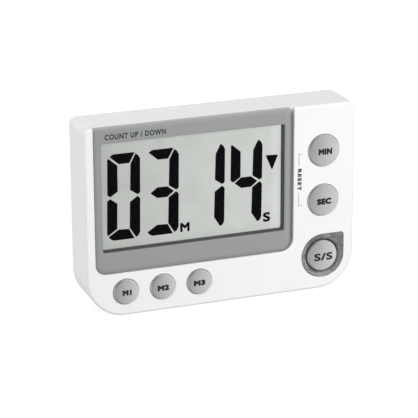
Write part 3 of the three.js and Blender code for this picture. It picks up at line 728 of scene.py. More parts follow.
def board_mat():
    """Green solder mask over copper traces and plated pads."""
    m, nt, out = nodes_of("circuit_board")
    bs = nt.nodes.new("ShaderNodeBsdfPrincipled")
    link(nt, bs.outputs["BSDF"], out.inputs["Surface"])
    tc = nt.nodes.new("ShaderNodeTexCoord")
    br = nt.nodes.new("ShaderNodeTexBrick")
    mp = nt.nodes.new("ShaderNodeMapping")
    mp.inputs["Rotation"].default_value = (math.pi / 2, 0, 0)
    link(nt, tc.outputs["Object"], mp.inputs["Vector"])
    link(nt, mp.outputs["Vector"], br.inputs["Vector"])
    br.inputs["Scale"].default_value = 160.0
    br.inputs["Mortar Size"].default_value = 0.035
    br.inputs["Mortar Smooth"].default_value = 0.2
    wide = noise(nt, 120, 3)
    base = blend_color(nt, remap(nt, wide, 0, 1), (0.018, 0.115, 0.045), (0.028, 0.16, 0.06))
    mx = nt.nodes.new("ShaderNodeMix")
    mx.data_type = "RGBA"
    link(nt, br.outputs["Fac"], mx.inputs["Factor"])
    link(nt, base, mx.inputs["A"])
    mx.inputs["B"].default_value = (0.05, 0.26, 0.10, 1)
    link(nt, mx.outputs["Result"], bs.inputs["Base Color"])
    link(nt, remap(nt, noise(nt, 900, 2), 0.28, 0.4), bs.inputs["Roughness"])
    bp = nt.nodes.new("ShaderNodeBump")
    bp.inputs["Strength"].default_value = 0.3
    bp.inputs["Distance"].default_value = 3e-5
    link(nt, br.outputs["Fac"], bp.inputs["Height"])
    link(nt, bp.outputs["Normal"], bs.inputs["Normal"])
    return m


def zebra_mat():
    """Alternating conducting and insulating layers across the strip."""
    m, nt, out = nodes_of("zebra_elastomer")
    bs = nt.nodes.new("ShaderNodeBsdfPrincipled")
    link(nt, bs.outputs["BSDF"], out.inputs["Surface"])
    tc = nt.nodes.new("ShaderNodeTexCoord")
    wv = nt.nodes.new("ShaderNodeTexWave")
    wv.wave_type = "BANDS"
    wv.bands_direction = "X"
    wv.inputs["Scale"].default_value = 900.0
    link(nt, tc.outputs["Object"], wv.inputs["Vector"])
    link(nt, blend_color(nt, wv.outputs["Fac"], (0.02, 0.02, 0.022), (0.42, 0.40, 0.38)), bs.inputs["Base Color"])
    link(nt, remap(nt, noise(nt, 2500), 0.6, 0.75), bs.inputs["Roughness"])
    bp = nt.nodes.new("ShaderNodeBump")
    bp.inputs["Strength"].default_value = 0.15
    bp.inputs["Distance"].default_value = 2e-5
    link(nt, wv.outputs["Fac"], bp.inputs["Height"])
    link(nt, bp.outputs["Normal"], bs.inputs["Normal"])
    return m


def cell_mat(name, plus_sign):
    """Shrink wrap: a dark body with a lighter band toward the positive end."""
    m, nt, out = nodes_of(name)
    bs = nt.nodes.new("ShaderNodeBsdfPrincipled")
    link(nt, bs.outputs["BSDF"], out.inputs["Surface"])
    tc = nt.nodes.new("ShaderNodeTexCoord")
    sp = nt.nodes.new("ShaderNodeSeparateXYZ")
    link(nt, tc.outputs["Object"], sp.inputs["Vector"])
    along = nt.nodes.new("ShaderNodeMath")
    along.operation = "MULTIPLY"
    along.inputs[1].default_value = plus_sign * 1000
    link(nt, sp.outputs["X"], along.inputs[0])
    band = nt.nodes.new("ShaderNodeValToRGB")
    el = band.color_ramp.elements
    band.color_ramp.interpolation = "CONSTANT"
    el[0].position, el[0].color = 0.0, (0.012, 0.05, 0.12, 1)
    el[1].position, el[1].color = 0.66, (0.62, 0.63, 0.64, 1)
    e = el.new(0.70)
    e.color = (0.50, 0.27, 0.045, 1)
    fac = remap(nt, along.outputs[0], 0, 1, -22.2, 22.2)
    link(nt, fac, band.inputs["Fac"])
    nz = noise(nt, 260, 3)
    mx = nt.nodes.new("ShaderNodeMix")
    mx.data_type = "RGBA"
    mx.blend_type = "MULTIPLY"
    mx.inputs["Factor"].default_value = 1.0
    link(nt, band.outputs["Color"], mx.inputs["A"])
    link(nt, blend_color(nt, remap(nt, nz, 0, 1), (0.88, 0.88, 0.88), (1, 1, 1)), mx.inputs["B"])
    link(nt, mx.outputs["Result"], bs.inputs["Base Color"])
    link(nt, remap(nt, noise(nt, 1200), 0.2, 0.3), bs.inputs["Roughness"])
    bs.inputs["Metallic"].default_value = 0.35
    bs.inputs["Coat Weight"].default_value = 0.6
    bs.inputs["Coat Roughness"].default_value = 0.08
    bp = nt.nodes.new("ShaderNodeBump")
    bp.inputs["Strength"].default_value = 0.1
    bp.inputs["Distance"].default_value = 3e-5
    link(nt, noise(nt, 700, 2, stretch=(0.2, 1, 1)), bp.inputs["Height"])
    link(nt, bp.outputs["Normal"], bs.inputs["Normal"])
    return m


def clear_mat(name, tint, thin, gloss=0.03, spec_ior=1.49, body=0.0, body_color=(0.3, 0.3, 0.3)):
    """Clear plastic: tinted see-through, a Fresnel gloss and a faint body haze."""
    m, nt, out = nodes_of(name)
    tr = nt.nodes.new("ShaderNodeBsdfTransparent")
    wide = noise(nt, 90, 3)
    link(nt, blend_color(nt, remap(nt, wide, 0, 1), tuple(c * 0.97 for c in tint), tint), tr.inputs["Color"])
    gl = nt.nodes.new("ShaderNodeBsdfGlossy")
    gl.inputs["Color"].default_value = (1, 1, 1, 1)
    link(nt, remap(nt, noise(nt, 1500), gloss * 0.7, gloss * 1.3), gl.inputs["Roughness"])
    fr = nt.nodes.new("ShaderNodeFresnel")
    fr.inputs["IOR"].default_value = spec_ior
    bp = nt.nodes.new("ShaderNodeBump")
    bp.inputs["Strength"].default_value = 0.04
    bp.inputs["Distance"].default_value = 2e-5
    link(nt, noise(nt, 500, 2), bp.inputs["Height"])
    link(nt, bp.outputs["Normal"], gl.inputs["Normal"])
    mix = nt.nodes.new("ShaderNodeMixShader")
    last = tr.outputs["BSDF"]
    if body > 0:
        df = nt.nodes.new("ShaderNodeBsdfDiffuse")
        df.inputs["Color"].default_value = (*body_color, 1)
        mb = nt.nodes.new("ShaderNodeMixShader")
        mb.inputs["Fac"].default_value = body
        link(nt, last, mb.inputs[1])
        link(nt, df.outputs["BSDF"], mb.inputs[2])
        last = mb.outputs["Shader"]
    # the sheet doesn't bend the light, so its inner face must not turn it back either
    link(nt, calc(nt, fr.outputs["Fac"], 0.2, "MINIMUM"), mix.inputs["Fac"])
    link(nt, last, mix.inputs[1])
    link(nt, gl.outputs["BSDF"], mix.inputs[2])
    link(nt, mix.outputs["Shader"], out.inputs["Surface"])
    return m


def glass_mat(name, color, rough=0.03, ior=1.49, alpha=1.0, clear=1.0, mottle=0.93, size=110):
    """Solid tinted plastic that bends the light."""
    m, nt, out = nodes_of(name)
    bs = nt.nodes.new("ShaderNodeBsdfPrincipled")
    link(nt, bs.outputs["BSDF"], out.inputs["Surface"])
    wide = noise(nt, size, 3)
    link(nt, blend_color(nt, remap(nt, wide, 0, 1), tuple(c * mottle for c in color), color), bs.inputs["Base Color"])
    link(nt, remap(nt, noise(nt, 1300), rough * 0.6, rough * 1.4), bs.inputs["Roughness"])
    bs.inputs["IOR"].default_value = ior
    bs.inputs["Transmission Weight"].default_value = clear
    bs.inputs["Alpha"].default_value = alpha
    bp = nt.nodes.new("ShaderNodeBump")
    bp.inputs["Strength"].default_value = 0.05
    bp.inputs["Distance"].default_value = 2e-5
    link(nt, noise(nt, 420, 2), bp.inputs["Height"])
    link(nt, bp.outputs["Normal"], bs.inputs["Normal"])
    return m


def lcd_glow_mat():
    """Reflective display film: pale grey-green, with a painted glow (emission) standing in for the light on it, growing
    gently toward one side, with painted highlights along its right edge and its top.
    """
    m = finish_mat("lcd_film_painted_glow", (0.27, 0.278, 0.267), 0.42, var=0.012, rvar=0.04, bump=0.05, grain=6000, spec=0.1)
    nt = m.node_tree
    bs = next(n for n in nt.nodes if n.type == "BSDF_PRINCIPLED")
    tc = nt.nodes.new("ShaderNodeTexCoord")
    sp = nt.nodes.new("ShaderNodeSeparateXYZ")
    link(nt, tc.outputs["Object"], sp.inputs["Vector"])
    # painted light: the glow grows from the left end to the right end
    mr = nt.nodes.new("ShaderNodeMapRange")
    mr.inputs["From Min"].default_value = -0.058
    mr.inputs["From Max"].default_value = 0.030
    mr.inputs["To Min"].default_value = LCD_PAINTED_GLOW[0]
    mr.inputs["To Max"].default_value = LCD_PAINTED_GLOW[1]
    link(nt, sp.outputs["X"], mr.inputs["Value"])
    # painted highlight along the right edge
    edge = nt.nodes.new("ShaderNodeMapRange")
    edge.interpolation_type = "SMOOTHSTEP"
    edge.inputs["From Min"].default_value = 0.0235
    edge.inputs["From Max"].default_value = 0.0305
    edge.inputs["To Min"].default_value = 0.0
    edge.inputs["To Max"].default_value = 0.13
    link(nt, sp.outputs["X"], edge.inputs["Value"])
    # painted highlight along the top
    top = nt.nodes.new("ShaderNodeMapRange")
    top.interpolation_type = "SMOOTHSTEP"
    top.inputs["From Min"].default_value = 0.075
    top.inputs["From Max"].default_value = 0.0825
    top.inputs["To Min"].default_value = 0.0
    top.inputs["To Max"].default_value = 0.06
    link(nt, sp.outputs["Z"], top.inputs["Value"])
    both = nt.nodes.new("ShaderNodeMath")
    link(nt, edge.outputs["Result"], both.inputs[0])
    link(nt, top.outputs["Result"], both.inputs[1])
    gain = nt.nodes.new("ShaderNodeMath")
    link(nt, mr.outputs["Result"], gain.inputs[0])
    link(nt, both.outputs[0], gain.inputs[1])
    # the film glows though it is no lamp: painted light
    bs.inputs["Emission Color"].default_value = (0.985, 1.0, 0.97, 1)
    link(nt, gain.outputs[0], bs.inputs["Emission Strength"])
    return m


def lens_mat():
    """Smoky clear plastic with painted reflections in its colour: paler toward its outer wall, in loose patches, and
    most of all at its lower left, where the rim's reflection is painted in.
    """
    m, nt, out = nodes_of("smoke_clear")
    bs = nt.nodes.new("ShaderNodeBsdfPrincipled")
    link(nt, bs.outputs["BSDF"], out.inputs["Surface"])
    tc = nt.nodes.new("ShaderNodeTexCoord")
    x, z, r = BUTTONS["start_stop"]
    flat = nt.nodes.new("ShaderNodeVectorMath")
    flat.operation = "MULTIPLY_ADD"
    link(nt, tc.outputs["Object"], flat.inputs[0])
    flat.inputs[1].default_value = (1, 0, 1)
    flat.inputs[2].default_value = (-x * MM, 0, -z * MM)
    length = nt.nodes.new("ShaderNodeVectorMath")
    length.operation = "LENGTH"
    link(nt, flat.outputs["Vector"], length.inputs[0])
    unit = nt.nodes.new("ShaderNodeVectorMath")
    unit.operation = "NORMALIZE"
    link(nt, flat.outputs["Vector"], unit.inputs[0])
    dot = nt.nodes.new("ShaderNodeVectorMath")
    dot.operation = "DOT_PRODUCT"
    link(nt, unit.outputs["Vector"], dot.inputs[0])
    dot.inputs[1].default_value = (-0.6, 0, -0.8)

    # painted reflection: paler toward the outer wall, strongest at the lower left, and in noisy patches
    outer = span(nt, length.outputs["Value"], 0.0077, 0.0098, 0.06, 0.86)
    side = span(nt, dot.outputs["Value"], 0.1, 1.0, 0.85, 2.3)
    reflection_patches = span(nt, noise(nt, 230, 3), 0.38, 0.60, 0.40, 1.2)
    f = calc(nt, calc(nt, outer, side), reflection_patches)
    link(nt, blend_color(nt, f, LENS_DARK, LENS_PAINTED_REFLECTION), bs.inputs["Base Color"])
    link(nt, remap(nt, noise(nt, 1300), 0.02, 0.05), bs.inputs["Roughness"])
    bs.inputs["IOR"].default_value = 1.49
    bs.inputs["Transmission Weight"].default_value = 0.66
    bs.inputs["Alpha"].default_value = 0.9
    bp = nt.nodes.new("ShaderNodeBump")
    bp.inputs["Strength"].default_value = 0.05
    bp.inputs["Distance"].default_value = 2e-5
    link(nt, noise(nt, 420, 2), bp.inputs["Height"])
    link(nt, bp.outputs["Normal"], bs.inputs["Normal"])
    return m


# smoky lens colour, and the pale colour of its painted reflections
LENS_DARK, LENS_PAINTED_REFLECTION = (0.27, 0.25, 0.262), (0.88, 0.85, 0.87)
# painted glow of the display film at its left and right ends
LCD_PAINTED_GLOW = (0.265, 0.395)
LCD_GLOW_FILM = lcd_glow_mat()
BOARD = board_mat()
ZEBRA = zebra_mat()
WINDOW_CLEAR = clear_mat("clear_window", (0.99, 0.995, 0.99), True, gloss=0.15, spec_ior=1.07)
SMOKE_PAINTED_REFLECTION = lens_mat()
LED_RED = glass_mat("led_red", (0.75, 0.03, 0.02), rough=0.12, alpha=0.95)


# ------------------------------------------------------------------ front shell
def quarter(shape, y_face, r, toward=1, n=8):
    """Rings of a rounded rim from the face outwards; toward is +1 where the body lies behind the face."""
    return [(shape(r * (1 - math.sin(t))), y_face + toward * r * (1 - math.cos(t)))
            for t in np.linspace(0, math.pi / 2, n + 1)]


def skin_front(name, y_end, rim=0.14):
    rings = quarter(outline, FRONT, EDGE_FRONT, 1, 9)
    rings += quarter(outline, y_end, rim, -1, 3)[::-1]
    return loft(name, rings)


def seat_shape(g):
    g = g + SEAT_GAP
    return rrect(BEZ["x0"] - g, BEZ["x1"] + g, BEZ["z0"] - g, H + 5,
                 0.2, 0.2, BEZ_R["br"] + g, BEZ_R["bl"] + g, 16)


def open_shape(g):
    return rrect(OPEN["x0"] - g, OPEN["x1"] + g, OPEN["z0"] - g, OPEN["z1"] + g, *[1.0 + g] * 4, 10)


def front_shell():
    a = skin_front("front", PART - 0.05)
    boolean(a, "-", prism("c", outline(2.2), FRONT + 2.2, 20))
    boolean(a, "+", block("f", -W / 2 + 1, BEZ["x1"] + 1.4, FRONT + 1.9, FLOOR_BACK, BEZ["z0"] - 1.3, H - 1))
    for x, z in BOARD_SCREWS:
        boolean(a, "+", rod("p", x, z, 2.6, FRONT + 1.9, -3.35, 40))
    for x, z in SHELL_SCREWS:
        boolean(a, "+", rod("p", x, z, 3.9, -1.5, PART - 0.05, 48))
    boolean(a, "-", flared("s", seat_shape, FRONT, FRONT + 1.9, 0.22))
    boolean(a, "-", prism("o", open_shape(SKIRT + SEAT_GAP), FRONT - 5, FLOOR_BACK + 1))
    for name, (x, z, r) in BUTTONS.items():
        if name != "start_stop":
            boolean(a, "-", flared("h", lambda g, x=x, z=z, r=r: circle(x, z, r + 0.15 + g, 120), FRONT, FRONT + 3.2, 0.18))
    boolean(a, "-", flared("l", lambda g: teardrop(SEAT_GAP + g, 96), FRONT, FRONT + 3.2, 0.18))
    for x, z in BOARD_SCREWS:
        boolean(a, "-", rod("p", x, z, 1.45, -8.3, 0, 24))
    for x, z in SHELL_SCREWS:
        boolean(a, "-", rod("p", x, z, 1.45, -0.9, 10, 24))
    return piece(a, "front_shell_fine", "case", WHITE, ["front_shell"])


front_shell()

# ------------------------------------------------------------------ bezel
RIM = dict(l=1.3, r=4.0, b=2.3, t=1.9)              # width of the soft rim on each side
RIM_DEPTH = dict(l=0.9, r=1.78, b=1.15, t=1.75)       # and how far it falls
# share of the width inside the edge, share of the depth reached there
RIM_CURVE = [(1.0, 0.0), (0.94, 0.007), (0.86, 0.031), (0.77, 0.070), (0.68, 0.122), (0.59, 0.185), (0.50, 0.258),
             (0.41, 0.341), (0.32, 0.436), (0.24, 0.532), (0.16, 0.645), (0.09, 0.765), (0.04, 0.88), (0.0, 1.0)]


def rim_depths(n):
    """Depth of the rim at each point of an outline made by rrect, eased round the corners."""
    sides = [RIM_DEPTH["b"], RIM_DEPTH["r"], RIM_DEPTH["t"], RIM_DEPTH["l"], RIM_DEPTH["b"]]
    out = []
    for c in range(4):
        for t in np.linspace(0, 1, n + 1):
            e = t * t * (3 - 2 * t)
            out.append(sides[c] * (1 - e) + sides[c + 1] * e)
    return out


def open_rim(k):
    """The display opening, wider by a share k of the soft inner rim of each side."""
    l, r, b, t = 0.4 * k, 1.1 * k, 1.0 * k, 0.35 * k
    return rrect(OPEN["x0"] - l, OPEN["x1"] + r, OPEN["z0"] - b, OPEN["z1"] + t,
                 *[1.0 + 0.3 * k] * 4, 10)


def bezel():
    rings = []
    fall = rim_depths(16)
    for k, q in RIM_CURVE:
        l, r, b = RIM["l"] * k, RIM["r"] * k, RIM["b"] * k
        rings.append((rrect(BEZ["x0"] + l, BEZ["x1"] - r, BEZ["z0"] + b, H - RIM["t"] * k,
                            BEZ_R["tl"] + 0.6 * k, BEZ_R["tr"] - 0.9 * k, BEZ_R["br"] - (b + r) / 2,
                            BEZ_R["bl"] - (l + b) / 2, 16), [FRONT + q * d for d in fall]))
    rings.append((rings[-1][0], FRONT + 1.8))
    a = loft("bezel", rings)
    boolean(a, "&", skin_front("k", 3.0))
    boolean(a, "+", prism("s", open_shape(SKIRT), FRONT + 1, FLOOR_BACK))
    cut = [(open_rim(1), FRONT - 4)]
    for t in np.linspace(0, math.pi / 2, 9):
        cut.append((open_rim(1 - math.sin(t)), FRONT + 0.75 * (1 - math.cos(t))))
    o = OPEN
    cut.append((rrect(o["x0"], o["x1"] - 0.4, o["z0"] + 0.25, o["z1"], *[1.0] * 4, 10), FLOOR_BACK - 0.3))
    cut.append((cut[-1][0], 0))
    c = loft("o", cut)
    fix_out(c)
    boolean(a, "-", c)
    # the opening's steep inner walls and the steep part of its lip get the painted recess shade
    paint(a, lambda p, q: abs(q[1]) < 0.62 and p[1] > FRONT + 0.2 and o["x0"] - 0.3 < p[0] < o["x1"] + 0.3
          and o["z0"] - 0.3 < p[2] < o["z1"] + 0.3, 1)
    return piece(a, "bezel_fine", "case", [GREY_RIM_SHADED, RECESS_SHADE], ["bezel"])


bezel()

# ------------------------------------------------------------------ display
piece(rblock("w", -60.4, 32.4, -8.4, -7.4, 28.4, 84.4, 0.12, 2), "display_window_fine", "case",
      WINDOW_CLEAR, ["display_window"])
piece(rblock("g", -60.4, 32.4, -7.3, -6.2, 28.2, 84.6, 0.1, 2), "lcd_front_glass_fine", "case",
      LCD_GLOW_FILM, ["lcd_front_glass"])
piece(rblock("g", -60.4, 32.4, -6.15, -5.05, 31.0, 81.8, 0.1, 2), "lcd_rear_glass_fine", "case",
      LCD_BACK, ["lcd_rear_glass"])

SEG = {
    "a": [(-6.4, 19.2), (-4.8, 20.15), (5.05, 20.15), (2.65, 15.6), (-2.2, 15.6)],
    "b": [(5.7, 19.45), (6.85, 18.5), (7.65, 16.95), (7.7, 1.36), (6.65, 0.55), (3.2, 2.9), (3.4, 15.0)],
    "c": [(6.65, -0.5), (7.7, -1.6), (7.7, -17.3), (6.95, -18.9), (5.9, -19.5), (2.97, -15.0), (3.16, -2.9)],
    "d": [(-2.5, -15.4), (2.47, -15.55), (4.95, -20.05), (-4.7, -20.05), (-6.0, -19.3), (-6.9, -18.3)],
    "e": [(-6.22, -0.6), (-3.05, -3.0), (-3.15, -14.6), (-7.3, -17.5), (-7.7, -16.8), (-7.6, -1.4)],
    "f": [(-7.15, 18.3), (-3.0, 14.75), (-2.9, 2.8), (-6.2, 0.65), (-7.5, 1.5), (-7.5, 17.85)],
    "g": [(-5.45, 0), (-2.45, 2.35), (2.3, 2.35), (5.35, 0), (2.3, -2.4), (-2.3, -2.4)],
}
DIGITS = [("minutes_tens", -45.95, "abcdef"), ("minutes_units", -27.6, "abgcd"),
          ("seconds_tens", -5.4, "bc"), ("seconds_units", 12.9, "fgbc")]
SEG_Z = 55.05
SEG_GROW = 0.13                     # how far each segment spreads past its drawn outline
PLANE = -7.36                       # front of the dark segments
DX, DZ = 0.01, -0.086               # parallax from the plane they were laid out on


def segments():
    for name, cx, on in DIGITS:
        parts = []
        for s in on:
            shape = inset_poly([(cx + DX + x + 0.015 * z, SEG_Z + DZ + z) for x, z in SEG[s]], -SEG_GROW)
            pts = fillet(shape, 0.25, 3)
            parts.append(prism("s", pts, PLANE, PLANE + 0.09))
        join(parts)
        piece(parts[0], "lcd_digit_" + name, "case", INK_LCD, flat_area=1e9)


def join(obs):
    bpy.ops.object.select_all(action="DESELECT")
    for o in obs:
        o.select_set(True)
    bpy.context.view_layer.objects.active = obs[0]
    if len(obs) > 1:
        bpy.ops.object.join()
    return obs[0]


segments()


def lcd_text(name, text, cx, cz, h, w):
    ob = text_body(text, h, bold=0.045)
    co = np.array([v.co for v in ob.data.vertices])
    place_print(ob, cx + DX, cz + DZ, lambda x, z: -7.3, sx=w / (co[:, 0].max() - co[:, 0].min()), lift=0.06, sink=0.03)
    piece(ob, name, "case", INK_LCD, flat_area=1e9)


lcd_text("lcd_unit_m", "M", -16.95, 37.1, 4.35, 4.5)
lcd_text("lcd_unit_s", "S", 23.1, 37.0, 4.6, 3.6)
piece(prism("t", fillet(inset_poly([(22.7 + DX, 66.6 + DZ), (25.66 + DX, 59.75 + DZ), (28.4 + DX, 66.3 + DZ)], -0.15), 0.3, 3),
            PLANE, PLANE + 0.09), "lcd_arrow", "case", INK_LCD, flat_area=1e9)

# ------------------------------------------------------------------ buttons
def crown(r):
    return lambda x, z: -13.1 + 0.55 * ((r - 0.8) / 6.85) ** 1.7 * min((x * x + z * z) / (r - 0.8) ** 2, 1.6)


def button(name, x, z, r):
    start = name == "start_stop"
    f0, fr = (-8.2, r + 0.8) if start else (-9.4, r + 1.2)
    prof = [(0.0, -13.1)]
    s = crown(r)
    for q in np.linspace(0.12, 1, 9):
        prof.append(((r - 0.8) * q, s((r - 0.8) * q, 0)))
    e0 = prof[-1]
    # rounded shoulder into the side wall
    for t in np.linspace(0.12, 1, 8):
        a = t * math.pi / 2
        prof.append((e0[0] + 0.8 * math.sin(a), e0[1] + 0.62 * (1 - math.cos(a)) + 0.1 * t))
    side = fillet([(r, -11.9), (r, -11.4), (r, f0), (fr, f0), (fr, f0 + 0.9), (r - 1.4, f0 + 0.9), (r - 1.4, -11.2),
                   (3.0, -11.2), (3.0, -7.3), (0, -7.3)], 0.18, 3, closed=False)
    prof += side[1:]
    a = lathe("b", prof, x, z, 128)
    fix_out(a)
    # the paint stops below the rim; the skirt is bare dark plastic, whose dark tone also paints the shade in the gap
    # round the key
    paint(a, lambda p, q: p[1] > -11.35, 1)
    piece(a, f"{name}_button_fine", f"{name}_button", [SILVER, KEY_SKIRT_GAP_SHADE], [f"{name}_button"],
          flat_area=1e9)
    # rubber key under it, a dome made to collapse toward the board, drawn here at rest
    key = fillet([(0, -7.2), (3.0, -7.2), (3.3, -5.6), (5.2, -4.1), (5.6, -3.35), (4.5, -3.35), (4.1, -3.9),
                  (2.4, -4.7), (0, -4.7)], [0, 0.3, 0.6, 0.5, 0.1, 0.1, 0.3, 0.5, 0], 4, closed=False)
    k = lathe("k", key, x, z, 64)
    fix_out(k)
    piece(k, f"{name}_rubber_key_fine", "case", RUBBER, [f"{name}_rubber_key"], flat_area=1e9)
    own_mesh(k)


for nm, (bx, bz, br_) in BUTTONS.items():
    button(nm, bx, bz, br_)


def label(name, text, x0, x1, z0, z1, body, mat, surface=None, bold=0.05, shift=(0, 0), spacing=1.12):
    ob = text_body(text, z1 - z0, bold=bold, spacing=spacing)
    co = np.array([v.co for v in ob.data.vertices])
    sx = (x1 - x0) / (co[:, 0].max() - co[:, 0].min())
    grid = 0.9 if surface else 0.0
    surface = surface or (lambda x, z: FRONT)
    place_print(ob, (x0 + x1) / 2 + shift[0], (z0 + z1) / 2 + shift[1], surface, sx=sx, lift=0.03, sink=0.02,
                grid=grid)
    piece(ob, name, body, mat, flat_area=1e9, weld=5e-5)
    return ob


def key_label(key, text, x0, x1, z0, z1, bold=0.09):
    x, z, r = BUTTONS[key]
    s = crown(r)
    label(f"label_{key}", text, x0, x1, z0, z1, f"{key}_button", INK,
          lambda px, pz: s(px - x, pz - z), bold=bold)


key_label("min", "MIN", 46.4, 53.2, 65.5, 68.5)
key_label("sec", "SEC", 45.9, 53.1, 41.5, 44.5)
key_label("start_stop", "S/S", 44.9, 54.2, 14.0, 17.7, 0.045)
key_label("m1", "M1", -49.1, -44.8, 9.9, 12.6)
key_label("m2", "M2", -32.4, -26.8, 9.9, 12.6)
key_label("m3", "M3", -14.9, -9.3, 9.9, 12.6)


def reset_mark():
    ob = text_body("RESET", 2.0, bold=0.065, spacing=1.26)
    co = np.array([v.co for v in ob.data.vertices])
    place_print(ob, 37.5, 54.55, lambda x, z: FRONT, rot=-90, sx=10.5 / (co[:, 0].max() - co[:, 0].min()),
                lift=0.03, sink=0.02)
    piece(ob, "label_reset", "case", INK_DARK, flat_area=1e9, weld=5e-5)
    w = 0.28
    for tag, (za, zb, hook) in {"upper": (66.7, 60.9, 1), "lower": (48.3, 42.0, -1)}.items():
        x = 37.1
        if hook > 0:
            pts = [(x - w, zb), (x + w, zb), (x + w, za - w), (38.9, za - w), (38.9, za + w), (x - w, za + w)]
        else:
            pts = [(x - w, zb - w), (38.9, zb - w), (38.9, zb + w), (x + w, zb + w), (x + w, za), (x - w, za)]
        ob = prism("r", fillet(pts, 0.1, 2), FRONT - 0.03, FRONT + 0.02)
        fix_out(ob)
        piece(ob, f"reset_bracket_{tag}", "case", INK_PALE, flat_area=1e9)


reset_mark()
label("label_function", "COUNT UP / DOWN", -55.7, -27.2, 83.4, 86.0, "case", INK_DARK, bold=0.045, spacing=1.16)

# ------------------------------------------------------------------ alarm light
def lens():
    rings = quarter(lambda g: teardrop(-g, 96), FRONT, 0.8, 1, 10)
    rings += [(teardrop(0, 96), FRONT + 2.3), (teardrop(0.9, 96), FRONT + 2.3), (teardrop(0.9, 96), FRONT + 3.3)]
    a = loft("lens", rings)
    fix_out(a)
    x, z, r = BUTTONS["start_stop"]
    boolean(a, "-", flared("h", lambda g: circle(x, z, r + 0.42 + g, 128), FRONT, 0, 0.6))
    return piece(a, "alarm_lens_fine", "case", SMOKE_PAINTED_REFLECTION, ["alarm_lens"])


lens()


def collar():
    """Dark guide ring behind the lens, round the start key, which keeps the lamp's light in the lens."""
    x, z, r = BUTTONS["start_stop"]
    y = FRONT + 2.3
    prof = fillet([(r + 1.25, y - 0.1), (r + 1.75, y - 0.1), (r + 1.75, y + 1.15), (r + 1.25, y + 1.15)], 0.12, 3)
    a = ring_lathe("k", prof, x, z, 128)
    fix_out(a)
    return piece(a, "start_key_collar", "case", BLACK, flat_area=1e9)


collar()
led = lathe("led", [(0, -7.9), (0.5, -7.82), (0.95, -7.55), (1.3, -7.1), (1.46, -6.6), (1.5, -6.1), (1.5, -4.35),
                    (1.85, -4.3), (1.9, -4.2), (1.9, -3.4), (1.85, -3.35), (0, -3.35)], 57.0, 23.0, 48)
fix_out(led)
piece(led, "alarm_led_fine", "case", LED_RED, ["alarm_led"], flat_area=1e9)

